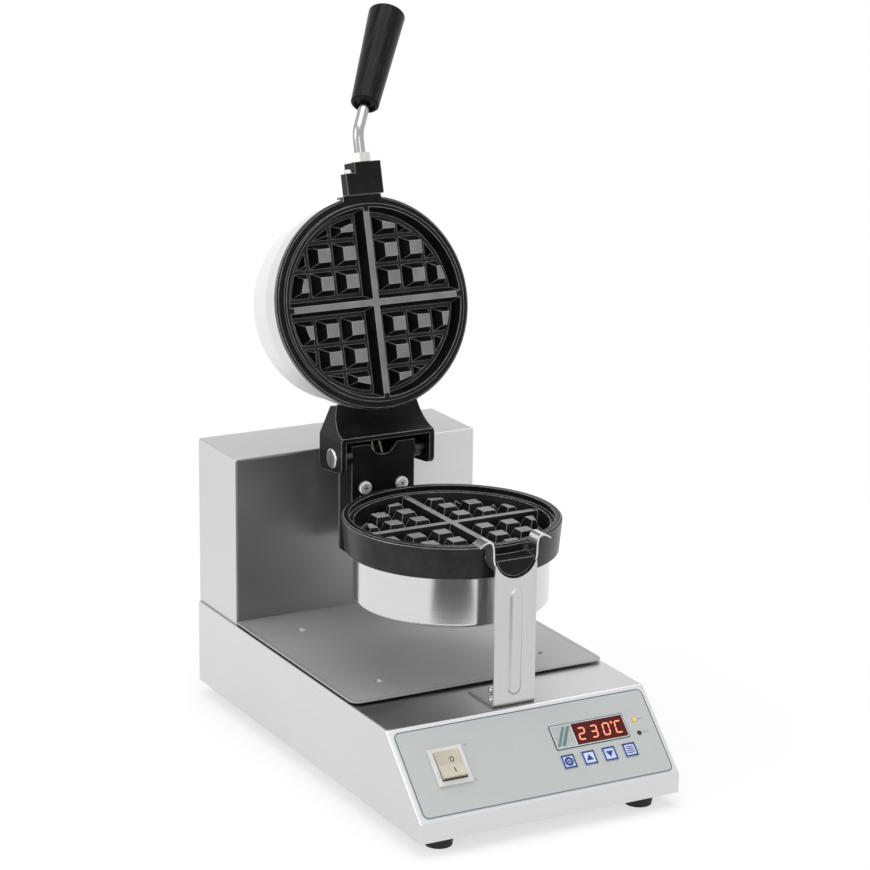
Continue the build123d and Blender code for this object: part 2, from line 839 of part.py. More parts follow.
def heater():
    """A tubular element bent to an open ring in the plane z = 0, with two bent-down legs."""
    half_gap = heater_gap_angle / 2
    ring_path = CenterArc((0, 0, 0), heater_radius, 90 + half_gap, 360 - heater_gap_angle)
    start = ring_path @ 0
    ring = sweep(Plane(origin=start, z_dir=ring_path % 0) * Circle(heater_tube), path=ring_path)
    ends = (ring_path @ 0, ring_path @ 1)
    legs = [rod_z(heater_tube * 0.6, end.X, end.Y, -14, -heater_tube * 0.5) for end in ends]
    return ring + legs


def iron_inside(name, seat, cap_seat, place, finish):
    """Fit out one iron whose plate ends at z = seat, below z = 0 at the parting plane."""
    heater_z = seat - heater_tube
    pad_top = seat - 2 * heater_tube - insulation_gap
    cap_floor = cap_seat - cap_height
    pad = rod_z(pocket_radius - insulation_gap, 0, 0, pad_top - insulation_thickness, pad_top)
    pad -= rod_z(large_screw + 1, 0, 0, pad_top - insulation_thickness - 1, pad_top + 1)
    for end in (-1, 1):
        leg_angle = math.radians(90 + end * heater_gap_angle / 2)
        leg_x = heater_radius * math.cos(leg_angle)
        leg_y = heater_radius * math.sin(leg_angle)
        pad -= rod_z(heater_tube, leg_x, leg_y, pad_top - insulation_thickness - 1, pad_top + 1)
    pad -= rod_z(probe_radius + 0.5, probe_offset, 0, pad_top - insulation_thickness - 1, pad_top + 1)
    bolt_length = seat - cap_floor + 5
    bolt = pan_screw(large_screw, large_head, large_head_height, bolt_length)
    bolt = Pos(0, 0, cap_floor) * Rot(X=180) * bolt
    probe = rod_z(probe_radius, probe_offset, 0, seat - probe_length, seat)
    add(name + "_heater", finish(place * Pos(0, 0, heater_z) * heater()))
    add(name + "_insulation", finish(place * pad))
    add(name + "_cap", finish(place * Pos(0, 0, cap_seat) * cup(cap_radius, cap_height, cap_sheet, cap_edge)))
    add(name + "_cap_bolt", finish(place * bolt))
    add(name + "_probe", finish(place * probe))


def stay(shape):
    return shape


upper_seat = -(stud_height - nest_height + plate_floor)
iron_inside("lower", -collar_height, -collar_height, Pos(0, iron_y, parting_z), stay)
iron_inside("upper", upper_seat, -collar_height, Pos(0, iron_y, upper_z) * Rot(Y=180), swing)


# Hinge bracket: a cast channel that carries the lid's pins and the lower iron
def build_bracket():
    low = hinge_z - bracket_below
    high = hinge_z + bracket_above
    half = bracket_half
    inner = half - bracket_wall
    back = flange_y
    body = block((-half, half), (bracket_y, back), (low, high))
    corners = body.edges().filter_by(Axis.X).sort_by(lambda edge: edge.center().Y - edge.center().Z)
    body = fillet(corners[-1:], 1.0)
    body -= block((-inner, inner), (bracket_y + bracket_wall, back + 1), (low + bracket_wall, high + 1))
    for side in (-1, 1):
        body += rod_y(bracket_boss_radius, side * bracket_screw_side, bracket_screw_z, bracket_y + 1, back)
        for out, up in ((bracket_screw_side, bracket_screw_z), (lug_screw_side, parting_z + lug_screw_z)):
            body -= rod_y(large_screw + screw_slack, side * out, up, bracket_y - 1, back + 1)
    notch_z = high - notch_depth + notch_radius
    body -= rod_y(notch_radius, 0, notch_z, bracket_y - 1, bracket_y + bracket_wall + 1)
    shoulders = body.edges().filter_by(Axis.Y).filter_by(
        lambda edge: abs(edge.center().Z - high) < pin_clearance and abs(edge.center().X) < notch_radius
    )
    body = fillet(shoulders, notch_shoulder)
    body -= rod_x(pin_radius + pin_clearance, hinge_y, hinge_z, -2 * half, 2 * half)
    return body


bracket_screw_z = axis_z - bracket_screw_drop
add("hinge_bracket", build_bracket())
add(
    "bracket_screws",
    *[
        Pos(side * bracket_screw_side, bracket_y, bracket_screw_z)
        * Rot(X=90)
        * pan_screw(large_screw, bracket_head_radius, large_head_height, bracket_depth + flange_plate)
        for side in (-1, 1)
    ],
)
lug_screw_y = bracket_y + bracket_wall
add(
    "lug_screws",
    *[
        Pos(side * lug_screw_side, lug_screw_y, parting_z + lug_screw_z)
        * Rot(X=-90)
        * pan_screw(large_screw, large_head, large_head_height, bracket_wall + 12)
        for side in (-1, 1)
    ],
)
spacer_length = ear_outer - ear_wall - bracket_half - running_gap
spacers = []
pins = []
for side in (-1, 1):
    spacer_far = bracket_half + spacer_length
    tube = rod_x(spacer_radius, hinge_y, hinge_z, bracket_half, spacer_far)
    tube -= rod_x(pin_radius + pin_clearance, hinge_y, hinge_z, 0, 2 * ear_outer)
    head_near = ear_outer + running_gap
    head = rod_x(pin_head_radius, hinge_y, hinge_z, head_near, head_near + pin_head)
    head = fillet(head.edges().sort_by(Axis.X)[-1], pin_head * 0.5)
    head -= block(
        (head_near + pin_head * 0.5, head_near + 2 * pin_head),
        (hinge_y - 1.0, hinge_y + 1.0),
        (hinge_z - pin_head_radius, hinge_z + pin_head_radius),
    )
    pin = head + rod_x(pin_radius, hinge_y, hinge_z, bracket_half - bracket_wall, head_near)
    spacers.append(tube if side > 0 else mirror(tube, Plane.YZ))
    pins.append(pin if side > 0 else mirror(pin, Plane.YZ))
add("hinge_spacers", *spacers)
add("hinge_screws", *pins)

# Flange, shaft, bushes, frame, nut and turn stop
flange_low = hinge_z - bracket_below
flange = block((-bracket_half, bracket_half), (flange_y, shaft_y), (flange_low, hinge_z - 0.5))
flange -= rod_y(shaft_bore_radius, 0, axis_z, flange_y - 1, shaft_y + 1)
for side in (-1, 1):
    bracket_screw_x = side * bracket_screw_side
    flange -= rod_y(large_screw + pin_clearance, bracket_screw_x, bracket_screw_z, flange_y - 1, shaft_y + 1)
    flange -= rod_y(large_head + 1, side * lug_screw_side, parting_z + lug_screw_z, flange_y - 1, shaft_y + 1)
add("shaft_flange", flange)

frame_inner_back = frame_back - bearing_plate
nut_front = frame_back + bush_flange_thickness + running_gap
shaft_end = nut_front + shaft_nut_thickness + 2
shaft = rod_y(shaft_radius, 0, axis_z, shaft_y, shaft_end)
shaft -= rod_y(shaft_bore_radius, 0, axis_z, shaft_y - 1, shaft_end + 1)
add("rear_shaft", shaft)

bush_outer = shaft_radius + pin_clearance + bush_wall


def bush(face_y, direction):
    """A flanged bush whose flange lies on the frame plate's face and whose sleeve runs through it."""
    flange_far = face_y + direction * bush_flange_thickness
    sleeve_far = face_y - direction * (bush_length - bush_flange_thickness)
    piece = rod_y(bush_outer + bush_flange, 0, axis_z, min(face_y, flange_far), max(face_y, flange_far))
    piece += rod_y(bush_outer, 0, axis_z, min(face_y, sleeve_far), max(face_y, sleeve_far))
    reach = 2 * bush_length
    return piece - rod_y(shaft_radius + pin_clearance, 0, axis_z, face_y - reach, face_y + reach)


front_bush = bush(frame_front + bearing_plate, 1)
front_bush &= block((-50, 50), (frame_front, frame_back), (deck_z, tower_top))
rear_bush = bush(frame_back, 1)
add("shaft_bushes", front_bush, rear_bush)

frame = block((-bearing_half, bearing_half), (frame_front, frame_back), (deck_z, deck_z + bearing_plate))
for plate_y in (frame_front, frame_inner_back):
    frame += block(
        (-bearing_half, bearing_half), (plate_y, plate_y + bearing_plate), (deck_z, axis_z + bearing_above)
    )
frame -= rod_y(bush_outer + pin_clearance, 0, axis_z, frame_front - 1, frame_back + 1)
for x, y in frame_bolt_places:
    frame -= rod_z(large_screw + screw_slack, x, y, deck_z - 1, deck_z + 2 * bearing_plate)
add("bearing_frame", frame)
frame_bolt = pan_screw(large_screw, large_head, large_head_height, bearing_plate + sheet + 6)
frame_nut = Pos(0, 0, -bearing_plate - sheet - 4.5) * extrude(
    RegularPolygon(5.0, 6, major_radius=False) - Circle(large_screw + pin_clearance), amount=4.5
)
add(
    "frame_bolts",
    *[
        Pos(x, y, deck_z + bearing_plate) * piece
        for x, y in frame_bolt_places
        for piece in (frame_bolt, frame_nut)
    ],
)
shaft_nut = extrude(
    RegularPolygon(shaft_nut_flats / 2, 6, major_radius=False) - Circle(shaft_radius + pin_clearance),
    amount=shaft_nut_thickness,
)
add("shaft_nut", Pos(0, nut_front + shaft_nut_thickness, axis_z) * Rot(X=90) * shaft_nut)

stop_y = frame_front + bearing_span * 0.45
stop_rise = stop_arm_width / 2 + stop_pin_radius + stop_pin_play
stop_out = math.sqrt(stop_orbit**2 - stop_rise**2)
stop_pin_back = stop_y + stop_collar_thickness
add(
    "stop_pins",
    *[
        rod_y(stop_pin_radius, side * stop_out, axis_z + stop_rise, frame_front + bearing_plate, stop_pin_back)
        for side in (-1, 1)
    ],
)
stop_collar = rod_y(stop_collar_radius, 0, axis_z, stop_y, stop_pin_back)
stop_arm_half = stop_arm_width / 2
stop_arm_height = (axis_z - stop_arm_half, axis_z + stop_arm_half)
stop_collar += block((0, stop_arm_reach), (stop_y, stop_pin_back), stop_arm_height)
stop_collar -= rod_y(shaft_radius + pin_clearance, 0, axis_z, stop_y - 1, stop_pin_back + 1)
add("stop_collar", stop_collar)


# Handle: half journal, clamp bolt, bent rod, lock nut and grip
block_rear = -ring_radius - pad_proud
block_front = -ring_radius - block_reach
handle_block = rod_y(block_radius, 0, -journal_drop, block_front, block_rear)
block_low = -journal_split + parting_gap / 2
handle_block &= block((-block_half, block_half), (block_front, block_rear), (block_low, block_radius))
handle_block = chamfer(handle_block.edges().filter_by(Axis.Z), 0.6)
handle_block -= block(
    (-block_half - 1, -block_half + block_notch),
    (block_front - 1, block_front + block_notch),
    (-block_radius, block_radius),
)
rod_z_height = -journal_drop + rod_above_axis
handle_block -= rod_y(rod_radius + pin_clearance, rod_side, rod_z_height, block_front - 1, block_rear - 8)
lid_place = Pos(0, iron_y, upper_z)
bolt_x = -block_half + block_notch / 2
bolt_seat = block_front + block_notch
bolt_drop = 1.5
bolt_z = rod_z_height - bolt_drop
handle_block -= rod_y(small_screw + pin_clearance, bolt_x, bolt_z, bolt_seat - 1, bolt_seat + 7)
add("handle_block", swing(lid_place * handle_block))
block_bolt = pan_screw(small_screw, small_head, 3.6, 6)
add("block_bolt", swing(lid_place * Pos(bolt_x, bolt_seat, bolt_z) * Rot(X=90) * block_bolt))

bend = math.radians(handle_bend)
lean = math.radians(handle_lean)
grip_dir = Vector(math.sin(bend) * math.cos(lean), -math.cos(bend), math.sin(bend) * math.sin(lean))
rod_start = Vector(rod_side, block_rear - 8.5, rod_z_height)
rod_corner = Vector(rod_side, block_front - rod_bend_out, rod_z_height)
grip_start = rod_corner + grip_dir * rod_free
rod_end = grip_start + grip_dir * rod_grip_depth
rod_line = FilletPolyline(rod_start, rod_corner, rod_end, radius=rod_bend_radius)
handle_rod = sweep(Plane(origin=rod_line @ 0, z_dir=rod_line % 0) * Circle(rod_radius), path=rod_line)
add("handle_rod", swing(lid_place * handle_rod))

rod_nut = extrude(
    RegularPolygon(nut_flats / 2, 6, major_radius=False) - Circle(rod_radius + pin_clearance), amount=nut_height
)
add("rod_nut", swing(lid_place * Pos(rod_side, block_front, rod_z_height) * Rot(X=90) * rod_nut))

dome_sphere = (grip_head_radius**2 + grip_dome**2) / (2 * grip_dome)
dome_turn = math.asin(grip_head_radius / dome_sphere) / 2
dome_middle = (dome_sphere * math.sin(dome_turn), 0, grip_length - dome_sphere * (1 - math.cos(dome_turn)))
grip_side = Polyline(
    (0, 0, grip_length),
    (0, 0, 0),
    (grip_foot_radius - grip_edge, 0, 0),
    (grip_foot_radius, 0, grip_edge),
    (grip_head_radius, 0, grip_length - grip_dome),
)
dome_arc = ThreePointArc(grip_side @ 1, dome_middle, grip_side @ 0)
grip = revolve(make_face([grip_side, dome_arc]), Axis.Z)
grip -= rod_z(rod_radius + pin_clearance, 0, 0, -1, rod_grip_depth + 1)
grip -= rod_z(grip_recess_radius, 0, 0, -1, grip_recess_depth)
grip_place = Plane(origin=grip_start, z_dir=grip_dir)
add("handle_grip", swing(lid_place * (grip_place.location * grip)))


# Control panel: label, switch, display window, keys and lamps
label = panel * Pos(0, (label_low + label_high) / 2, 0) * extrude(
    RectangleRounded(2 * label_half, label_high - label_low, label_corner), amount=label_thickness
)
bezel_hole = (bezel_width - 2 * 1.0, bezel_length - 2 * 1.0)
label -= on_panel(switch_x, switch_s, -1, 1, *bezel_hole)
label -= on_panel(display_x, display_s, -1, 1, display_width + 0.2, display_height + 0.2)
for key_x in key_places:
    label -= on_panel(key_x, key_s, -1, 1, key_size + 2 * key_gap, key_size + 2 * key_gap)
for led_s in (led_s_low, led_s_high):
    label -= panel * Pos(led_x, led_s, 0) * Cylinder(led_radius + screw_slack, 4)
add("panel_overlay", label)


def rocker_pin(radius, length):
    """A round bar on the rocker's pivot line."""
    pivot = panel * Pos(switch_x, switch_s, label_thickness + rocker_seat - rocker_pivot)
    return pivot * Rot(Y=90) * Cylinder(radius, length)


def build_switch_housing():
    hole_w = rocker_width + 2 * rocker_gap
    hole_l = rocker_length + 2 * rocker_gap
    frame_low = label_thickness
    top = frame_low + bezel_proud
    bezel = on_panel(switch_x, switch_s, frame_low, top, bezel_width, bezel_length)
    bezel = chamfer(bezel.faces().sort_by(panel_normal)[-1].edges(), 0.8)
    body_w = bezel_width - 5.0
    body_l = bezel_length - 4.0
    housing = bezel + on_panel(switch_x, switch_s, -switch_body_depth, frame_low, body_w, body_l)
    well = switch_body_depth - 6
    housing -= on_panel(switch_x, switch_s, -well, top + 1, hole_w, hole_l)
    housing -= rocker_pin(pivot_radius + pin_clearance, rocker_width + 2 * pivot_reach + rocker_gap)
    tab_low = -switch_body_depth - tab_length
    tabs = [
        on_panel(switch_x, switch_s + step * tab_pitch, tab_low, -switch_body_depth, tab_width, tab_sheet)
        for step in (-1, 0, 1)
    ]
    return [housing] + tabs


add("switch_housing", *build_switch_housing())


def build_rocker():
    half = rocker_length / 2
    outline = Polyline(
        (-half, rocker_rise),
        (0, rocker_rise - rocker_dish),
        (half, rocker_rise),
        (half - 1.0, -2.0),
        (rocker_skirt, -rocker_skirt - 2),
        (-rocker_skirt, -rocker_skirt - 2),
        (-half + 1.0, -2.0),
        close=True,
    )
    section = Plane(origin=(0, 0, 0), x_dir=(0, 1, 0), z_dir=(1, 0, 0)) * make_face(outline)
    rocker = extrude(section, amount=rocker_width / 2, both=True)
    rocker = rocker.rotate(Axis((0, 0, -rocker_pivot), (1, 0, 0)), -rocker_tilt)
    body = panel * Pos(switch_x, switch_s, label_thickness + rocker_seat) * rocker
    return body + rocker_pin(pivot_radius, rocker_width + 2 * pivot_reach)


add("switch_rocker", build_rocker())
window = on_panel(display_x, display_s, 0, display_thickness, display_width, display_height)
add("display_window", window)

for name, key_x in zip(("key_power", "key_up", "key_down", "key_set"), key_places):
    cap = on_panel(key_x, key_s, -4, label_thickness + key_proud, key_size, key_size)
    cap = chamfer(cap.faces().sort_by(panel_normal)[-1].edges(), 0.3)
    stem_low = -board_depth + key_switch_height + key_travel + key_gap
    stem = panel * Pos(key_x, key_s, (stem_low - 4) / 2) * Cylinder(2.5, -4 - stem_low)
    add(name, cap + stem)

led_top = label_thickness + led_proud
lamp = Pos(0, 0, (led_top - board_depth) / 2) * Cylinder(led_radius, led_top + board_depth)
add("panel_leds", *[panel * Pos(led_x, led_s, 0) * lamp for led_s in (led_s_low, led_s_high)])
display_module = on_panel(digits_x, display_s, -board_depth, -0.4, digits_width - 1, digits_height - 1)
add("display_module", display_module)

board_mid_x = (board_left + board_right) / 2
board_mid_s = (board_low + board_high) / 2
board_back = -board_depth - board_thickness
board_long = board_right - board_left
board = on_panel(board_mid_x, board_mid_s, board_back, -board_depth, board_long, board_high - board_low)
key_switch_top = -board_depth + key_switch_height
for key_x in key_places:
    board += on_panel(key_x, key_s, -board_depth - joint_bite, key_switch_top, key_switch_size, key_switch_size)
chip_low = board_back - chip_height
board += on_panel(board_mid_x, board_mid_s, chip_low, board_back + joint_bite, chip_size, chip_size)
add("control_board", board)
standoffs = []
for x in (board_left + standoff_inset, board_right - standoff_inset):
    for s in (board_low + standoff_inset, board_high - standoff_inset):
        standoff = Cylinder(standoff_radius, board_depth - sheet)
        standoffs.append(panel * Pos(x, s, -(sheet + board_depth) / 2) * standoff)
add("board_standoffs", *standoffs)

# Power board on its pillars, and the mains terminal block, on the bottom plate
plate_top = base_z + sheet
power_y = front_y + power_board_back
power_z = plate_top + power_board_lift
power_board = block(
    (-power_board_width / 2, power_board_width / 2),
    (power_y, power_y + power_board_depth),
    (power_z, power_z + board_thickness),
)
power_top = power_z + board_thickness
for x, y, width, depth, height in (transformer, relay, connector_row):
    across = (x - width / 2, x + width / 2)
    along = (power_y + y, power_y + y + depth)
    power_board += block(across, along, (power_top - joint_bite, power_top + height))
power_board += rod_z(
    capacitor_radius, capacitor_x, power_y + capacitor_y, power_top - joint_bite, power_top + capacitor_height
)
pillar_x = power_board_width / 2 - pillar_inset
for x in (-pillar_x, pillar_x):
    for y in (power_y + pillar_inset, power_y + power_board_depth - pillar_inset):
        power_board += rod_z(standoff_radius, x, y, plate_top, power_z + joint_bite)
add("power_board", power_board)

terminal_y = back_y - terminal_from_back
terminal = block(
    (gland_x - terminal_width / 2, gland_x + terminal_width / 2),
    (terminal_y - terminal_depth / 2, terminal_y + terminal_depth / 2),
    (plate_top, plate_top + terminal_height),
)
for step in range(terminal_poles):
    pole_x = gland_x + (step - (terminal_poles - 1) / 2) * terminal_width / terminal_poles
    wire_z = plate_top + terminal_wire_height
    wire_run = (terminal_y - terminal_depth, terminal_y + terminal_depth)
    terminal -= rod_z(terminal_screw_radius, pole_x, terminal_y, wire_z, plate_top + terminal_height + 1)
    terminal -= rod_y(terminal_wire_radius, pole_x, wire_z, *wire_run)
add("terminal_block", terminal)

for name, solids in parts.items():
    flat = []
    for shape in solids:
        flat += list(shape.solids())
    export_step(Compound(flat), "parts/" + name + ".step")
    print(name, len(flat), "solids")
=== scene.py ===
import math

import bpy
from bpy.props import FloatProperty, FloatVectorProperty, PointerProperty
from mathutils import Matrix, Vector


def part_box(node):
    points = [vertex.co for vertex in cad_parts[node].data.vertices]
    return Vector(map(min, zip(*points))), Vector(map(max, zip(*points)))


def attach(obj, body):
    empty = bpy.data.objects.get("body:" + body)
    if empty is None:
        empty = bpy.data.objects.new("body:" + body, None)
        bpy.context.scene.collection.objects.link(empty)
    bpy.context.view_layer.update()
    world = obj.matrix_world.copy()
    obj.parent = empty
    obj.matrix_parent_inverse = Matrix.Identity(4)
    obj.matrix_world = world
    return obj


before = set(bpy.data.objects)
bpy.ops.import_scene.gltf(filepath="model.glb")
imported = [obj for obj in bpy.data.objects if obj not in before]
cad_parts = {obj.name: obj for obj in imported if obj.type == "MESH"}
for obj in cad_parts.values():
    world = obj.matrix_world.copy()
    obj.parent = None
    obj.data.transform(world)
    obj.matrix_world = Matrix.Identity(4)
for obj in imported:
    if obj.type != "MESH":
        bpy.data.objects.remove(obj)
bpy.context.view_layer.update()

bl_info = {
    "name": "Rotating Waffle Maker",
    "version": (1, 0, 0),
    "blender": (4, 5, 0),
    "location": "View3D > Sidebar > Waffle Maker",
    "description": "Dresses a countertop rotating waffle maker with its finishes, prints and small parts",
    "category": "Object",
}

SLANT = math.radians(44.07)
LIP_HEIGHT = 0.017
SHELL_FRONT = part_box("base_shell")[0][1]
LIP_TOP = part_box("rubber_feet")[1][2] + LIP_HEIGHT
LAMP_SPLIT = LIP_TOP + 0.0342
TOWER_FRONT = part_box("tower_shell")[0][1]
TOWER_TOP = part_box("tower_shell")[1][2]
DECK_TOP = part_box("tower_shell")[0][2]
HINGE = Vector((0, 0.082, 0.249))
LID_OPENING = math.radians(105)
LOW_MIDDLE = HINGE + Vector((0, -0.134, -0.022))
HIGH_MIDDLE = HINGE + Matrix.Rotation(-LID_OPENING, 3, "X") @ (LOW_MIDDLE - HINGE)
LID_FACING = Vector((0, -math.sin(LID_OPENING), -math.cos(LID_OPENING)))
LOW_FLOORS = -0.012
HIGH_FLOORS = -0.002
LID_RING = 0.007
STUD_FIELD = 0.0815
COLLAR_INNER = 0.0905
COLLAR_OUTER = 0.0965
SKIN = 0.001
GRIP_START = Vector((0.012, 0.171, 0.508))
GRIP_END = Vector((0.072, 0.218, 0.588))
CAMERA_PLACE = Vector((-1.1871, -2.1908, 0.9701))
CAMERA_AZIMUTH = math.radians(-28.67)
CAMERA_ELEVATION = math.radians(15.37)
CAMERA_ROLL = math.radians(0.64)


def size(name, description, default):
    """A length in metres that the sidebar shows."""
    return FloatProperty(name=name, description=description, default=default,
                         subtype="DISTANCE", unit="LENGTH", precision=5)


def colour(name, description, default):
    """A linear colour that the sidebar shows."""
    return FloatVectorProperty(name=name, description=description, default=default, size=3,
                               min=0.0, max=1.0, subtype="COLOR")


class WAFFLE_PG_panel(bpy.types.PropertyGroup):
    """Sizes of what is printed and fitted on the slanted control panel."""
    slant: FloatProperty(name="Slant", description="Angle of the control panel above the table",
                         default=SLANT, subtype="ANGLE", unit="ROTATION")
    outline_half: size("Outline half width", "Half the width of the printed outline", 0.1202)
    outline_low: size("Outline low", "Lower edge of the printed outline up the slope", 0.0040)
    outline_high: size("Outline high", "Upper edge of the printed outline up the slope", 0.0829)
    line: size("Print line", "Width of the printed lines", 0.0008)
    label_top: size("Label film", "Height of the label film above the sheet", 0.0005)
    key_x: size("First key", "Sideways place of the first key", 0.0269)
    key_pitch: size("Key pitch", "Distance between keys", 0.0201)
    key_s: size("Key row", "Place of the keys up the slope", 0.0294)
    key_size: size("Key size", "Side of a key", 0.0124)
    digit_height: size("Digit height", "Height of a lit digit", 0.0105)
    digit_width: size("Digit width", "Width of a lit digit", 0.0057)
    segment: size("Segment", "Width of a lit bar of a digit", 0.0012)
    digit_pitch: size("Digit pitch", "Distance between digits", 0.0121)
    digits_x: size("Digits", "Sideways place of the middle of the digits", 0.0668)
    digits_s: size("Digits up", "Place of the digits up the slope", 0.0519)
    display_x: size("Display", "Sideways place of the display", 0.0564)
    display_s: size("Display up", "Place of the display up the slope", 0.0522)
    display_half: size("Display half", "Half the length of the printed frame round the display", 0.0366)
    display_tall: size("Display tall", "Half the height of the printed frame round the display", 0.0116)
    window_top: size("Window top", "Height of the display window above the sheet", 0.00102)
    window_tall: size("Window tall", "Half the height of the window's clear end", 0.0103)
    clear_x: size("Clear end", "Sideways place of the window's clear end", 0.0305)
    clear_half: size("Clear half", "Half the length of the window's clear end", 0.0098)
    streak_tall: size("Streak tall", "Half the height of the two slanted streaks", 0.0085)
    streak_lean: size("Streak lean", "How far a streak leans over its height", 0.0104)
    divider_x: size("Divider", "Sideways place of the bar between the clear end and the digits", 0.0407)
    key_top: size("Key top", "Height of the keys above the sheet", 0.0011)


class WAFFLE_PG_colours(bpy.types.PropertyGroup):
    """Colours of the finishes."""
    steel: colour("Brushed steel", "Sheet of the cabinet", (0.67, 0.67, 0.675))
    tray: colour("Tray", "Sheet of the drip tray", (0.36, 0.36, 0.363))
    casting: colour("Casting", "Coating of the irons", (0.006, 0.006, 0.006))
    grip: colour("Grip", "Plastic of the grip", (0.003, 0.003, 0.003))
    film: colour("Label film", "Ground of the printed label", (0.475, 0.505, 0.495))
    outline: colour("Outline", "Printed outline", (0.055, 0.095, 0.16))
    key_ink: colour("Key ink", "Printed blue of the keys", (0.010, 0.032, 0.18))
    key_ground: colour("Key ground", "Ground of the keys", (0.56, 0.64, 0.90))
    window: colour("Window", "Tinted display window", (0.075, 0.005, 0.004))
    digit: colour("Digits", "Lit bars of the display", (0.95, 0.27, 0.15))
    rocker: colour("Rocker", "Plastic of the mains switch", (0.50, 0.465, 0.37))


class WAFFLE_PG_stage(bpy.types.PropertyGroup):
    """Light and camera."""
    key_light: FloatProperty(name="Key light", description="Power of the large side light",
                             default=20.0, unit="POWER")
    top_light: FloatProperty(name="Top light", description="Power of the light overhead",
                             default=24.0, unit="POWER")
    ambient: FloatProperty(name="Ambient", description="Strength of the world on the object",
                           default=0.7, min=0.0, max=2.0)
    lens: FloatProperty(name="Lens", description="Focal length of the camera",
                        default=122.406, subtype="DISTANCE_CAMERA")
    floor_side: size("Floor", "Side of the floor", 3.0)
    strip_reach: size("Dark strips", "How far before the iron the dark strips lie on the floor", 0.72)
    strip_depth: size("Strip depth", "Depth of the dark strips", 0.40)


# Shader maths and the finishes

class Term:
    """A shader socket that Python's arithmetic works on."""

    def __init__(self, finish, socket):
        self.finish = finish
        self.socket = socket

    def _maths(self, operation, *terms):
        return self.finish.node("ShaderNodeMath", {"operation": operation}, *terms)

    def __add__(self, other):
        return self._maths("ADD", self, other)

    __radd__ = __add__

    def __sub__(self, other):
        return self._maths("SUBTRACT", self, other)

    def __rsub__(self, other):
        return self._maths("SUBTRACT", other, self)

    def __mul__(self, other):
        return self._maths("MULTIPLY", self, other)

    def __gt__(self, other):
        return self._maths("GREATER_THAN", self, other)

    def __lt__(self, other):
        return self._maths("LESS_THAN", self, other)

    def smooth(self, low, high):
        """0 below low, 1 above high and smooth between."""
        settings = {"interpolation_type": "SMOOTHSTEP"}
        return self.finish.node("ShaderNodeMapRange", settings, self, low, high, 0.0, 1.0)


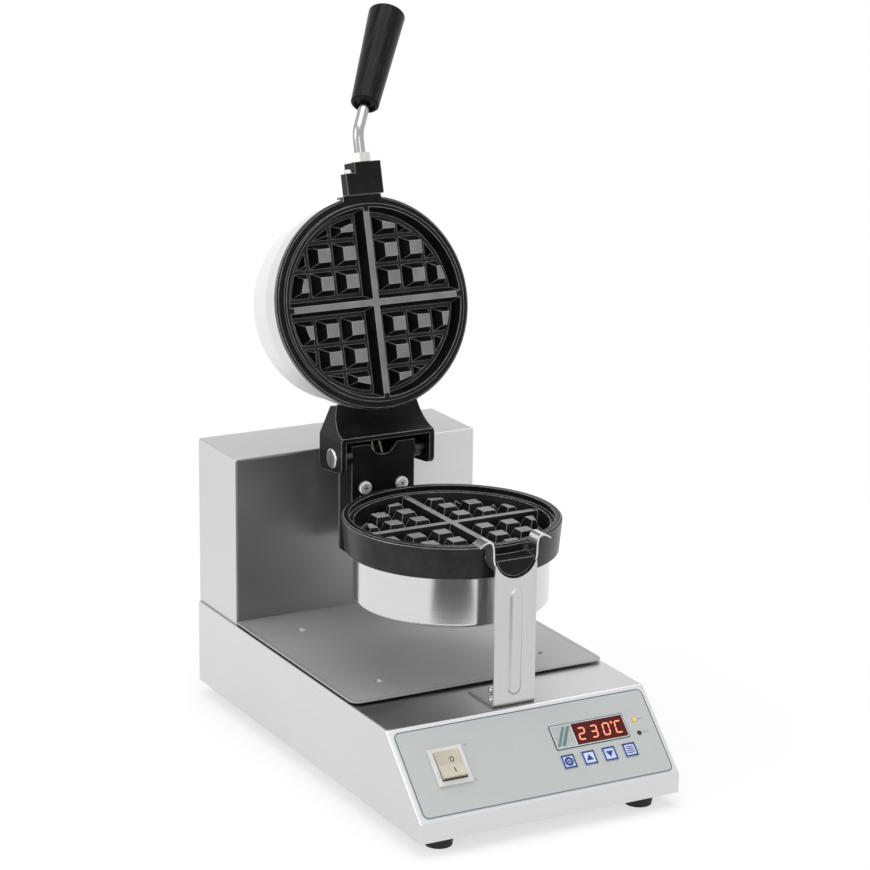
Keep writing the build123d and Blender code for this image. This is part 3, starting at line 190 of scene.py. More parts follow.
class Finish:
    """A named material whose nodes are added one call at a time."""

    def __init__(self, name):
        self.material = bpy.data.materials.new(name)
        self.material.use_nodes = True
        self.tree = self.material.node_tree
        self.tree.nodes.clear()
        self.shader = self.tree.nodes.new("ShaderNodeBsdfPrincipled")
        self.output = self.tree.nodes.new("ShaderNodeOutputMaterial")
        self.tree.links.new(self.shader.outputs[0], self.output.inputs["Surface"])

    def feed(self, socket, value):
        """Links a term to a socket, or sets a constant on it."""
        if isinstance(value, Term):
            self.tree.links.new(value.socket, socket)
        else:
            socket.default_value = value

    def node(self, kind, settings=None, *values, out=0, **named):
        """Adds one node: its settings first, then its inputs by order or by name."""
        made = self.tree.nodes.new(kind)
        for key, value in (settings or {}).items():
            setattr(made, key, value)
        for socket, value in zip(made.inputs, values):
            self.feed(socket, value)
        for key, value in named.items():
            self.feed(made.inputs[key.replace("_", " ")], value)
        return Term(self, made.outputs[out])

    def place(self):
        """Object coordinates."""
        return self.node("ShaderNodeTexCoord", out=3)

    def stretched(self, scale, turn=(0.0, 0.0, 0.0)):
        """Object coordinates, turned and then stretched."""
        spot = self.place()
        if any(turn):
            spot = self.node("ShaderNodeMapping", {"vector_type": "POINT"}, Vector=spot, Rotation=turn)
        return self.node("ShaderNodeMapping", {"vector_type": "POINT"}, Vector=spot, Scale=scale)

    def noise(self, spot, scale, detail=2.0, rough=0.5):
        """Fractal noise from 0 to 1."""
        return self.node("ShaderNodeTexNoise", None, Vector=spot, Scale=scale, Detail=detail, Roughness=rough)

    def blend(self, share, first, second):
        """Mixes two colours."""
        made = self.tree.nodes.new("ShaderNodeMix")
        made.data_type = "RGBA"
        self.feed(made.inputs[0], share)
        for socket, value in ((made.inputs[6], first), (made.inputs[7], second)):
            self.feed(socket, value if isinstance(value, Term) else (*value, 1.0))
        return Term(self, made.outputs[2])

    def axis(self, letter):
        """One of the object coordinates."""
        return self.node("ShaderNodeSeparateXYZ", None, self.place(), out="XYZ".index(letter))

    def along(self, direction, origin):
        """Distance along a direction from a point."""
        shift = self.node("ShaderNodeVectorMath", {"operation": "SUBTRACT"}, self.place(), tuple(origin))
        return self.dot(shift, tuple(direction))

    def dot(self, first, second):
        """Dot product of two vectors."""
        return self.node("ShaderNodeVectorMath", {"operation": "DOT_PRODUCT"}, first, second, out=1)

    def facing(self, direction):
        """How squarely a face looks along a direction of the piece itself."""
        return self.dot(self.node("ShaderNodeTexCoord", out=1), tuple(direction))

    def edges(self, radius):
        """Rounded normals, and how much they turn away from the flat ones."""
        flat = self.node("ShaderNodeNewGeometry", out=1)
        rounded = self.node("ShaderNodeBevel", {"samples": 4}, radius)
        return rounded, 1 - self.dot(flat, rounded)

    def bump(self, height, depth, strength=1.0, normal=None):
        """Feeds a height, in metres at depth, to the normal."""
        made = self.node("ShaderNodeBump", None, Strength=strength, Distance=depth, Height=height)
        if normal:
            self.tree.links.new(normal.socket, made.socket.node.inputs["Normal"])
        self.set(Normal=made)

    def ray(self, kind):
        """1 for one kind of ray and 0 for the others."""
        return Term(self, self.tree.nodes.new("ShaderNodeLightPath").outputs[kind])

    def swap(self, share, kind):
        """Shows another kind of shader instead of this finish, by a share."""
        other = self.tree.nodes.new(kind)
        other.inputs["Color"].default_value = (1, 1, 1, 1)
        mixed = self.tree.nodes.new("ShaderNodeMixShader")
        self.tree.links.new(share.socket, mixed.inputs[0])
        self.tree.links.new(self.shader.outputs[0], mixed.inputs[1])
        self.tree.links.new(other.outputs[0], mixed.inputs[2])
        self.tree.links.new(mixed.outputs[0], self.output.inputs["Surface"])

    def set(self, **values):
        """Sets sockets of the main shader by name."""
        for key, value in values.items():
            socket = self.shader.inputs[key.replace("_", " ")]
            if not isinstance(value, Term) and socket.type == "RGBA":
                value = (*value[:3], 1.0)
            self.feed(socket, value)


def shade(tint, share):
    """A colour made lighter or darker."""
    return tuple(min(1.0, part * share) for part in tint)


def brushed_sheet(name, tint, along="Y", rough=0.3, contrast=0.035, painted_shade=None, metallic=1.0):
    """Sheet steel with fine brush lines along one axis, and faint cloudy handling marks."""
    finish = Finish(name)
    scale = tuple(9.0 if letter == along else 1900.0 for letter in "XYZ")
    lines = finish.noise(finish.stretched(scale), 1.0, 3.0, 0.65)
    cloud = finish.noise(finish.place(), 6.0, 2.0, 0.5)
    tone = finish.blend(lines.smooth(0.3, 0.7), shade(tint, 1 - contrast), shade(tint, 1 + contrast))
    # The optional painted shade darkens parts of the sheet where shade and reflections fall.
    if painted_shade:
        tone = painted_shade(finish, tone)
    tone = finish.blend(cloud.smooth(0.35, 0.75) * 0.2, tone, shade(tint, 0.9))
    rough = rough + (lines - 0.5) * 0.08 + (cloud - 0.5) * 0.05
    finish.set(Base_Color=tone, Metallic=metallic, Roughness=rough)
    finish.bump(lines, 0.00001, 0.3)
    return finish.material


def polished_band(name, tint):
    """Turned sheet steel with fine lines round the drum."""
    finish = Finish(name)
    lines = finish.noise(finish.stretched((3.0, 3.0, 2600.0)), 1.0, 2.0, 0.6)
    tone = finish.blend(lines.smooth(0.3, 0.7), shade(tint, 0.97), shade(tint, 1.03))
    finish.set(Base_Color=tone, Metallic=1.0, Roughness=0.15 + (lines - 0.5) * 0.04)
    finish.bump(lines, 0.00001, 0.3)
    return finish.material


def coated_casting(name, tint, direction=None, centre=None, floors=0.0, bare=None):
    """Non-stick coating with a fine grain, lands and edges painted lighter as rubbed wear and painted sheen,
    and a collar that can be bare behind.
    """
    finish = Finish(name)
    grain = finish.noise(finish.place(), 2600.0, 2.0, 0.6)
    mottle = finish.noise(finish.place(), 55.0, 4.0, 0.6)
    tone = finish.blend(mottle.smooth(0.35, 0.7), tint, shade(tint, 1.8))
    rough = 0.33 + (mottle - 0.5) * 0.16 + (grain - 0.5) * 0.1
    metal = 0.0
    if direction:
        across = finish.along(direction.cross((1, 0, 0)), centre)
        sideways = finish.axis("X")
        reach = sideways * sideways + across * across
        squareness = finish.facing(direction)
        depth = finish.along(direction, centre)
        # Faces square to the plate, stud tops most, are painted lighter: partly rubbed wear, partly painted
        # sheen.
        land = squareness.smooth(0.9, 0.98) * (reach < STUD_FIELD * STUD_FIELD)
        share = land * (0.12 + (depth > floors) * 0.88) * (0.5 + mottle * 0.7)
        tone = finish.blend(share, tone, (0.24, 0.24, 0.242))
        rough = rough + land * 0.1
        collar = (reach > COLLAR_INNER * COLLAR_INNER) * (reach < COLLAR_OUTER * COLLAR_OUTER)
        collar = collar * (squareness < 0.5)
        tone = finish.blend(collar * (0.2 + mottle * 1.3), tone, (0.04, 0.04, 0.04))
        metal = collar * 0.8
    # Edges are painted lighter: partly rubbed wear, partly painted edge highlight.
    rounded, wear_and_edge_highlight = finish.edges(0.0009)
    tone = finish.blend(wear_and_edge_highlight.smooth(0.02, 0.12) * (0.5 + mottle * 0.9), tone, (0.60, 0.60, 0.60))
    if bare is not None:
        turned = collar * (depth < bare)
        tone = finish.blend(turned, tone, (0.72, 0.72, 0.722))
        rough = rough + turned * 0.12
    finish.set(Base_Color=tone, Roughness=rough, Metallic=metal, Coat_Weight=0.03, Coat_Roughness=0.14,
               Specular_IOR_Level=0.1)
    finish.bump(grain + mottle * 0.5, 0.00008, 0.4, rounded)
    return finish.material


def tower_painted_shade(finish, tone):
    """Painted reflection and shade: the tower's front wall is darker on its left, and its top is darker all
    over.
    """
    # Painted reflection: the front wall darkens towards the left.
    front = finish.axis("Y") < TOWER_FRONT + SKIN
    share = 1 - finish.axis("X").smooth(-0.125, 0.12)
    tone = finish.blend(front * share * 0.9, tone, (0.15, 0.15, 0.152))
    top = finish.axis("Z") > TOWER_TOP - SKIN
    return finish.blend(top * 0.75, tone, (0.42, 0.42, 0.423))


def deck_painted_shade(finish, tone):
    """Painted shade and reflection: the deck is darker all over, and most at its left."""
    deck = finish.axis("Z") > DECK_TOP - SKIN / 2
    share = 1 - finish.axis("X").smooth(-0.14, 0.10)
    return finish.blend(deck * (share * 0.6 + 0.15), tone, (0.17, 0.17, 0.173))


def foot_painted_shade(finish, tone):
    """Painted shade: the post's foot is darker than its upright."""
    foot = finish.axis("Z") < DECK_TOP + 2.4 * SKIN
    return finish.blend(foot * 0.75, tone, (0.22, 0.22, 0.223))


def tray_fold_painted_shade(finish, tone):
    """A fine dark line, painted shade of a fold, runs inside the tray's edge."""
    near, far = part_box("drip_tray")
    margin = 0.0035
    x, y = finish.axis("X"), finish.axis("Y")
    depth = x - (near[0] + margin)
    for side in ((far[0] - margin) - x, y - (near[1] + margin), (far[1] - margin) - y):
        depth = finish.node("ShaderNodeMath", {"operation": "MINIMUM"}, depth, side)
    line = (depth > -0.0004) * (depth < 0.0004)
    return finish.blend(line * 0.55, tone, (0.12, 0.12, 0.12))


def moulded_plastic(name, tint, rough=0.42, grain_scale=1800.0, coat=0.0):
    """Moulded plastic with a fine spark-eroded grain."""
    finish = Finish(name)
    grain = finish.noise(finish.place(), grain_scale, 2.0, 0.5)
    cloud = finish.noise(finish.place(), 40.0, 2.0, 0.5)
    tone = finish.blend(cloud.smooth(0.3, 0.7), shade(tint, 0.92), shade(tint, 1.08))
    finish.set(Base_Color=tone, Roughness=rough + (grain - 0.5) * 0.1, Coat_Weight=coat, Coat_Roughness=0.15)
    finish.bump(grain, 0.00003, 0.5)
    return finish.material


def grip_streaks(name, tint):
    """Glossy black grip with flow lines along its length, whose light streaks are partly painted highlights.
    """
    finish = Finish(name)
    run = (GRIP_END - GRIP_START).normalized()
    turn = Vector((0, 0, 1)).rotation_difference(run).inverted().to_euler()
    flow_and_sheen = finish.noise(finish.stretched((420.0, 420.0, 14.0), tuple(turn)), 1.0, 3.0, 0.6)
    # The light streaks stand for flow lines and painted highlights.
    tone = finish.blend(flow_and_sheen.smooth(0.45, 0.75), shade(tint, 0.5), shade(tint, 6.0))
    finish.set(Base_Color=tone, Roughness=0.2 + flow_and_sheen * 0.14, Specular_IOR_Level=0.13)
    finish.bump(flow_and_sheen, 0.00015, 0.8)
    return finish.material


def rubber_foot(name):
    """Black rubber with patches of dust."""
    finish = Finish(name)
    dust = finish.noise(finish.place(), 160.0, 4.0, 0.6)
    tone = finish.blend(dust.smooth(0.5, 0.8) * 0.5, (0.012, 0.012, 0.012), (0.05, 0.048, 0.045))
    finish.set(Base_Color=tone, Roughness=0.62 + dust * 0.2)
    finish.bump(dust, 0.0001, 0.4)
    return finish.material


def turned_metal(name, tint, rough=0.3, metallic=1.0):
    """Screws, shafts and rods: bright metal with small machining marks."""
    finish = Finish(name)
    marks = finish.noise(finish.place(), 700.0, 3.0, 0.6)
    tone = finish.blend(marks.smooth(0.35, 0.7), shade(tint, 0.88), shade(tint, 1.06))
    finish.set(Base_Color=tone, Metallic=metallic, Roughness=rough + (marks - 0.5) * 0.14)
    finish.bump(marks, 0.00001, 0.2)
    return finish.material


def label_film(name, tint):
    """Printed polyester film with a pearly grain."""
    finish = Finish(name)
    pearl = finish.noise(finish.place(), 3000.0, 2.0, 0.5)
    cloud = finish.noise(finish.place(), 14.0, 2.0, 0.5)
    tone = finish.blend(pearl.smooth(0.35, 0.65), shade(tint, 0.94), shade(tint, 1.06))
    tone = finish.blend(cloud.smooth(0.3, 0.8) * 0.3, tone, shade(tint, 0.93))
    finish.set(Base_Color=tone, Roughness=0.46 + (pearl - 0.5) * 0.12, Coat_Weight=0.2, Coat_Roughness=0.35)
    finish.bump(pearl, 0.00001, 0.4)
    return finish.material


def printed_ink(name, tint, rough=0.5):
    """Screen-printed ink with a faint unevenness."""
    finish = Finish(name)
    patch = finish.noise(finish.place(), 900.0, 2.0, 0.5)
    tone = finish.blend(patch.smooth(0.3, 0.7), shade(tint, 0.85), shade(tint, 1.12))
    finish.set(Base_Color=tone, Roughness=rough + (patch - 0.5) * 0.1)
    return finish.material


def tinted_window(name, tint):
    """Dark tinted window of the display, glossy and faintly uneven."""
    finish = Finish(name)
    haze = finish.noise(finish.place(), 260.0, 3.0, 0.6)
    tone = finish.blend(haze.smooth(0.3, 0.8), shade(tint, 0.8), shade(tint, 1.7))
    finish.set(Base_Color=tone, Roughness=0.3 + haze * 0.1, Specular_IOR_Level=0.18)
    return finish.material


def lit_bar(name, tint, strength):
    """A lit segment or lamp."""
    finish = Finish(name)
    grain = finish.noise(finish.place(), 1500.0, 2.0, 0.5)
    glow = finish.blend(grain.smooth(0.2, 0.8), shade(tint, 0.85), shade(tint, 1.0))
    finish.set(Base_Color=glow, Emission_Color=glow, Emission_Strength=strength, Roughness=0.35)
    return finish.material


def lamp_lens(name):
    """The upper lamp is lit yellow, the lower one is dark."""
    finish = Finish(name)
    grain = finish.noise(finish.place(), 900.0, 2.0, 0.5)
    lit = finish.axis("Z") > LAMP_SPLIT
    tone = finish.blend(lit, (0.02, 0.02, 0.02), finish.blend(grain, (0.85, 0.55, 0.04), (0.95, 0.70, 0.10)))
    finish.set(Base_Color=tone, Roughness=0.3 + grain * 0.1)
    return finish.material


def mineral_wool(name):
    """Insulation felt."""
    finish = Finish(name)
    fibre = finish.noise(finish.stretched((500.0, 160.0, 500.0)), 1.0, 4.0, 0.7)
    tone = finish.blend(fibre.smooth(0.3, 0.7), (0.55, 0.53, 0.46), (0.75, 0.73, 0.66))
    finish.set(Base_Color=tone, Roughness=0.92)
    finish.bump(fibre, 0.0006, 0.8)
    return finish.material


# Modelling helpers

def deselect():
    """Leaves edit mode and selects nothing."""
    if bpy.context.mode != "OBJECT":
        bpy.ops.object.mode_set(mode="OBJECT")
    bpy.ops.object.select_all(action="DESELECT")


def only(piece):
    """Selects one piece and makes it active."""
    deselect()
    piece.select_set(True)
    bpy.context.view_layer.objects.active = piece


def new_piece(name):
    """Names the piece that was just made."""
    piece = bpy.context.object
    piece.name = name
    piece.data.name = name
    return piece


def settle(piece, place=None):
    """Puts a piece at its place and applies that to its mesh."""
    if place is not None:
        piece.matrix_world = place @ piece.matrix_world
        bpy.context.view_layer.update()
    only(piece)
    bpy.ops.object.transform_apply(location=True, rotation=True, scale=True)


def mend(piece):
    """Merges doubles and recalculates the normals."""
    only(piece)
    bpy.ops.object.mode_set(mode="EDIT")
    bpy.ops.mesh.select_all(action="SELECT")
    bpy.ops.mesh.remove_doubles(threshold=1e-6)
    bpy.ops.mesh.normals_make_consistent(inside=False)
    bpy.ops.object.mode_set(mode="OBJECT")


def join(name, pieces):
    """Joins pieces into one."""
    deselect()
    for piece in pieces:
        piece.select_set(True)
    bpy.context.view_layer.objects.active = pieces[0]
    if len(pieces) > 1:
        bpy.ops.object.join()
    return new_piece(name)


def dress(piece, material, body):
    """Gives a piece its one finish and the body that it rides on."""
    piece.data.materials.clear()
    piece.data.materials.append(material)
    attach(piece, body)


def on_panel(x, s, height):
    """Matrix from a drawing in the X-Y plane to the slanted panel."""
    sizes = bpy.context.scene.waffle_panel
    slant = sizes.slant
    up = Vector((0, math.cos(slant), math.sin(slant)))
    out = Vector((0, -math.sin(slant), math.cos(slant)))
    origin = Vector((0, SHELL_FRONT, LIP_TOP)) + Vector((x, 0, 0)) + up * s + out * height
    turn = Matrix((Vector((1, 0, 0)), up, out)).transposed().to_4x4()
    return Matrix.Translation(origin) @ turn


def flat_bar(name, x0, x1, y0, y1, thick=0.00006):
    """A thin printed bar drawn in the X-Y plane, between limits."""
    deselect()
    bpy.ops.mesh.primitive_plane_add(size=1.0, location=((x0 + x1) / 2, (y0 + y1) / 2, 0))
    piece = new_piece(name)
    piece.scale = (x1 - x0, y1 - y0, 1.0)
    settle(piece)
    return thicken(piece, thick)


def thicken(piece, thick):
    """Gives a flat drawing its ink thickness."""
    only(piece)
    bpy.ops.object.mode_set(mode="EDIT")
    bpy.ops.mesh.select_all(action="SELECT")
    bpy.ops.mesh.extrude_region_move(TRANSFORM_OT_translate={"value": (0, 0, thick)})
    bpy.ops.object.mode_set(mode="OBJECT")
    mend(piece)
    return piece


def rounded_frame(name, half_x, half_y, corner, line, thick=0.00006):
    """A printed rounded rectangle line round the origin."""
    deselect()
    bpy.ops.mesh.primitive_plane_add(size=1.0)
    piece = new_piece(name)
    piece.scale = (2 * half_x, 2 * half_y, 1.0)
    settle(piece)
    bpy.ops.object.mode_set(mode="EDIT")
    bpy.ops.mesh.select_all(action="SELECT")
    if corner:
        bpy.ops.mesh.bevel(offset=corner, segments=8, affect="VERTICES")
    bpy.ops.mesh.select_all(action="SELECT")
    bpy.ops.mesh.inset(thickness=line, use_boundary=True)
    bpy.ops.mesh.delete(type="FACE")
    bpy.ops.object.mode_set(mode="OBJECT")
    return thicken(piece, thick)


def words(name, text, height, thick=0.00005):
    """Printed words centred on the origin in the X-Y plane."""
    deselect()
    bpy.ops.object.text_add()
    letters = bpy.context.object
    letters.data.body = text
    letters.data.size = height / 0.7
    letters.data.align_x = "CENTER"
    letters.data.align_y = "CENTER"
    letters.data.extrude = thick / 2
    letters.data.resolution_u = 3
    bpy.ops.object.convert(target="MESH")
    piece = new_piece(name)
    settle(piece)
    mend(piece)
    return piece


def polygon(name, points, thick=0.00005):
    """A printed shape with straight sides."""
    deselect()
    bpy.ops.mesh.primitive_circle_add(vertices=len(points), radius=1.0, fill_type="NGON")
    piece = new_piece(name)
    mesh = piece.data
    for vertex, point in zip(mesh.vertices, points):
        vertex.co = (point[0], point[1], 0.0)
    mesh.update()
    return thicken(piece, thick)


# Operators

class WAFFLE_OT_finishes(bpy.types.Operator):
    """Give every CAD node its finish"""
    bl_idname = "waffle.finishes"
    bl_label = "Finishes"

    def execute(self, context):
        tones = context.scene.waffle_colours
        # The cabinet, tower, tray and post sheets carry painted shade and reflections in their colour.
        side = brushed_sheet("cabinet_sheet", tones.steel, "Y", 0.3, painted_shade=deck_painted_shade)
        tower = brushed_sheet("tower_sheet", shade(tones.steel, 0.95), "X", 0.34,
                              painted_shade=tower_painted_shade, metallic=0.85)
        tray = brushed_sheet("tray_sheet", shade(tones.tray, 1.18), "X", 0.5, painted_shade=tray_fold_painted_shade, metallic=0.5)
        post = brushed_sheet("post_sheet", shade(tones.steel, 0.88), "Z", 0.3, painted_shade=foot_painted_shade)
        cover = brushed_sheet("bottom_sheet", (0.42, 0.42, 0.425), "Y", 0.4)
        strip = turned_metal("bent_strip", (0.72, 0.72, 0.73), 0.24)
        bright = turned_metal("bright_screws", (0.68, 0.67, 0.65), 0.24)
        plain = turned_metal("machined_steel", (0.42, 0.42, 0.43), 0.32)
        rod = turned_metal("bent_rod", (0.40, 0.40, 0.40), 0.2)
        brass = turned_metal("brass", (0.55, 0.38, 0.14), 0.3)
        band = polished_band("drum_band", (0.66, 0.66, 0.665))
        lower = coated_casting("lower_coating", tones.casting, Vector((0, 0, 1)), LOW_MIDDLE, LOW_FLOORS)
        upper = coated_casting("upper_coating", tones.casting, LID_FACING, HIGH_MIDDLE, HIGH_FLOORS,
                               -LID_RING)
        casting = coated_casting("bracket_coating", tones.casting)
        grip = grip_streaks("grip_plastic", tones.grip)
        black = moulded_plastic("black_plastic", (0.012, 0.012, 0.012), 0.35)
        cream = moulded_plastic("rocker_plastic", tones.rocker, 0.35, coat=0.2)
        keys = moulded_plastic("key_ground", tones.key_ground, 0.5)
        board = moulded_plastic("circuit_board", (0.02, 0.12, 0.05), 0.4)
        white = moulded_plastic("terminal_plastic", (0.7, 0.7, 0.66), 0.45)
        finishes = {
            side: ["base_shell"],
            tower: ["tower_shell"],
            cover: ["bottom_plate", "tower_back_cover"],
            tray: ["drip_tray"],
            post: ["front_post"],
            strip: ["cradle_strip"],
            bright: ["bottom_screws", "foot_screws", "back_cover_screws", "post_screws", "frame_bolts",
                     "lower_cap_bolt", "lug_screws", "hinge_screws", "upper_cap_bolt", "block_bolt",
                     "rod_nut"],
            turned_metal("plated_heads", (0.80, 0.80, 0.79), 0.36, metallic=0.45): ["bracket_screws"],
            turned_metal("blackened_steel", (0.06, 0.06, 0.06), 0.35): ["hinge_spacers"],
            plain: ["bearing_frame", "stop_pins", "stop_collar", "shaft_flange", "rear_shaft",
                    "shaft_nut", "lower_probe", "upper_probe"],
            rod: ["handle_rod"],
            brass: ["shaft_bushes", "board_standoffs"],
            band: ["lower_cap"],
            brushed_sheet("lid_band", (0.80, 0.80, 0.80), "X", 0.46, metallic=0.6): ["upper_cap"],
            lower: ["lower_grid_plate"],
            upper: ["upper_grid_plate"],
            casting: ["hinge_bracket", "handle_block"],
            grip: ["handle_grip"],
            rubber_foot("foot_rubber"): ["rubber_feet"],
            black: ["cable_gland", "display_module"],
            moulded_plastic("bezel_plastic", (0.66, 0.66, 0.64), 0.4): ["switch_housing"],
            cream: ["switch_rocker"],
            label_film("label_film", tones.film): ["panel_overlay"],
            tinted_window("display_tint", tones.window): ["display_window"],
            keys: ["key_power", "key_up", "key_down", "key_set"],
            lamp_lens("lamp_lens"): ["panel_leds"],
            board: ["control_board", "power_board"],
            white: ["terminal_block"],
            turned_metal("heater_sheath", (0.2, 0.17, 0.14), 0.45): ["lower_heater", "upper_heater"],
            mineral_wool("mineral_wool"): ["lower_insulation", "upper_insulation"],
        }
        for material, names in finishes.items():
            for name in names:
                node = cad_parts[name]
                node.data.materials.clear()
                node.data.materials.append(material)
        return {"FINISHED"}


class WAFFLE_OT_label_print(bpy.types.Operator):
    """Print the outline, the display's frame and the captions on the panel"""
    bl_idname = "waffle.label_print"
    bl_label = "Label print"

    def execute(self, context):
        sizes = context.scene.waffle_panel
        tones = context.scene.waffle_colours
        top = sizes.label_top
        outline_ink = printed_ink("outline_ink", tones.outline)
        middle = (sizes.outline_low + sizes.outline_high) / 2
        half = (sizes.outline_high - sizes.outline_low) / 2
        outline = rounded_frame("label_outline", sizes.outline_half, half, 0.0052, sizes.line)
        settle(outline, on_panel(0, middle, top))
        dress(outline, outline_ink, "stand")

        display_line = rounded_frame("display_frame", sizes.display_half, sizes.display_tall, 0.0016, 0.0006)
        settle(display_line, on_panel(sizes.display_x, sizes.display_s, top))
        dress(display_line, outline_ink, "stand")

        captions = []
        for text, x, s, height in (("OFF", -0.0602, 0.0618, 0.0016), ("ON", -0.0624, 0.0296, 0.0016),
                                   ("HEAT", 0.1082, 0.0556, 0.0014), ("READY", 0.1090, 0.0431, 0.0014)):
            piece = words("caption", text, height)
            settle(piece, on_panel(x, s, top))
            captions.append(piece)
        caption = join("switch_captions", captions)
        dress(caption, printed_ink("caption_ink", (0.16, 0.17, 0.18)), "stand")
        return {"FINISHED"}


class WAFFLE_OT_display(bpy.types.Operator):
    """Light the digits of the temperature display and fit the clear end of its window"""
    bl_idname = "waffle.display"
    bl_label = "Display"

    def bar(self, name, x, y, length, upright):
        """One lit bar with pointed ends."""
        sizes = bpy.context.scene.waffle_panel
        half = length / 2
        wide = sizes.segment / 2
        slim = half - wide
        points = [(-half, 0), (-slim, wide), (slim, wide), (half, 0), (slim, -wide), (-slim, -wide)]
        if upright:
            points = [(-b, a) for a, b in points]
        return polygon(name, [(x + a, y + b) for a, b in points])

    def digit(self, lit, x):
        """The lit bars of one digit."""
        sizes = bpy.context.scene.waffle_panel
        wide = sizes.digit_width
        tall = sizes.digit_height
        run = tall / 2 - sizes.segment * 0.25
        level = wide - sizes.segment * 0.4
        spots = {
            "top": (x, tall / 2, level, False),
            "middle": (x, 0, level, False),
            "bottom": (x, -tall / 2, level, False),
            "high_left": (x - wide / 2, tall / 4, run, True),
            "high_right": (x + wide / 2, tall / 4, run, True),
            "low_left": (x - wide / 2, -tall / 4, run, True),
            "low_right": (x + wide / 2, -tall / 4, run, True),
        }
        return [self.bar("segment", *spots[name]) for name in lit]

    def lit_digits(self, sizes):
        """Three digits and a C with its degree ring, leaning to the right."""
        signs = (
            ("top", "high_right", "middle", "low_left", "bottom"),
            ("top", "high_right", "middle", "low_right", "bottom"),
            ("top", "high_left", "high_right", "low_left", "low_right", "bottom"),
            ("top", "high_left", "low_left", "bottom"),
        )
        bars = []
        for step, lit in enumerate(signs):
            bars += self.digit(lit, (step - 1.5) * sizes.digit_pitch)
        degree = rounded_frame("degree", 0.0011, 0.0011, 0.0009, 0.0005)
        degree.data.transform(Matrix.Translation((sizes.digit_pitch + 0.0001, 0.0050, 0)))
        digits = join("lit_digits", [*bars, degree])
        lean = Matrix.Identity(4)
        lean[0][1] = math.tan(math.radians(6))
        digits.data.transform(lean)
        settle(digits, on_panel(sizes.digits_x, sizes.digits_s, sizes.window_top))
        return digits

    def clear_end(self, sizes):
        """The pale end of the window, and the two streaks on it."""
        tall = sizes.window_tall
        ground = flat_bar("display_clear_end", -sizes.clear_half, sizes.clear_half, -tall, tall, 0.00008)
        settle(ground, on_panel(sizes.clear_x, sizes.display_s, sizes.window_top))
        dress(ground, printed_ink("clear_end_ground", (0.42, 0.47, 0.46), 0.3), "stand")
        reach = sizes.streak_tall
        over = sizes.streak_lean
        streaks = []
        for x, wide in ((-0.0088, 0.0028), (-0.0044, 0.0034)):
            corners = [(x, -reach), (x + wide, -reach), (x + wide + over, reach), (x + over, reach)]
            streaks.append(polygon("streak", corners))
        streak = join("display_streaks", streaks)
        settle(streak, on_panel(sizes.clear_x, sizes.display_s, sizes.window_top + 0.0001))
        dress(streak, printed_ink("streak_ink", (0.13, 0.20, 0.21), 0.3), "stand")

    def rim(self, sizes):
        """The raised rim of the window, with its divider."""
        half = sizes.display_half - 0.0009
        tall = sizes.display_tall - 0.0009
        rim = rounded_frame("display_rim", half, tall, 0.0012, 0.0008, 0.00014)
        settle(rim, on_panel(sizes.display_x, sizes.display_s, sizes.window_top))
        bar = flat_bar("divider", -0.0005, 0.0005, -0.0102, 0.0102, 0.00012)
        settle(bar, on_panel(sizes.divider_x, sizes.display_s, sizes.window_top))
        return join("display_rim", [rim, bar])

    def execute(self, context):
        sizes = context.scene.waffle_panel
        dress(self.lit_digits(sizes), lit_bar("lit_digits", context.scene.waffle_colours.digit, 1.1), "stand")
        self.clear_end(sizes)
        dress(self.rim(sizes), printed_ink("rim_ink", (0.62, 0.64, 0.63), 0.4), "stand")
        return {"FINISHED"}


class WAFFLE_OT_key_signs(bpy.types.Operator):
    """Print the borders and signs of the four keys"""
    bl_idname = "waffle.key_signs"
    bl_label = "Key signs"

    def sign(self, name):
        """The printed sign of one key, drawn round the origin."""
        arrow = [(0, 0.0032), (0.0034, -0.0024), (-0.0034, -0.0024)]
        if name == "power":
            turns = [math.tau * step / 28 for step in range(28)]
            return [polygon("disc", [(0.0041 * math.cos(turn), 0.0041 * math.sin(turn)) for turn in turns])]
        if name == "up":
            return [polygon("arrow", arrow)]
        if name == "down":
            return [polygon("arrow", [(x, -y) for x, y in arrow])]
        rows = (0.0027, 0.0009, -0.0009, -0.0027)
        return [flat_bar("line", -0.0034, 0.0034, row - 0.0004, row + 0.0004) for row in rows]

    def power_mark(self, sizes):
        """The pale ring and stroke on the disc of the first key."""
        ring = rounded_frame("stroke", 0.0018, 0.0018, 0.0016, 0.0005)
        dash = flat_bar("dash", -0.00025, 0.00025, 0.0002, 0.0024, 0.0001)
        mark = join("key_power_mark", [ring, dash])
        settle(mark, on_panel(sizes.key_x, sizes.key_s, sizes.key_top + 0.00006))
        return mark

    def execute(self, context):
        sizes = context.scene.waffle_panel
        tones = context.scene.waffle_colours
        ink = printed_ink("key_ink", tones.key_ink)
        half = sizes.key_size / 2 - 0.0001
        for step, name in enumerate(("power", "up", "down", "set")):
            border = rounded_frame("border", half, half, 0.0003, 0.0014)
            sign = join("key_sign_" + name, [border, *self.sign(name)])
            settle(sign, on_panel(sizes.key_x + sizes.key_pitch * step, sizes.key_s, sizes.key_top))
            dress(sign, ink, "key_" + name)
            if name == "power":
                dress(self.power_mark(sizes), printed_ink("key_mark_ink", tones.key_ground), "key_power")
        return {"FINISHED"}


class WAFFLE_OT_rocker_marks(bpy.types.Operator):
    """Print the marks of the mains switch on its rocker"""
    bl_idname = "waffle.rocker_marks"
    bl_label = "Rocker marks"

    def execute(self, context):
        tall = 0.0025
        thick = 0.00012
        ring = rounded_frame("off_mark", 0.0019, tall, 0.0018, 0.0008, thick)
        settle(ring, on_panel(-0.0785, 0.0504, 0.00352))
        stroke = flat_bar("on_mark", -0.0005, 0.0005, -tall, tall, thick)
        tilt = Matrix.Rotation(math.radians(-13.8), 4, "X")
        settle(stroke, on_panel(-0.0795, 0.0402, 0.00508) @ tilt)
        marks = join("rocker_marks", [ring, stroke])
        dress(marks, printed_ink("rocker_ink", (0.04, 0.035, 0.025)), "rocker")
        return {"FINISHED"}


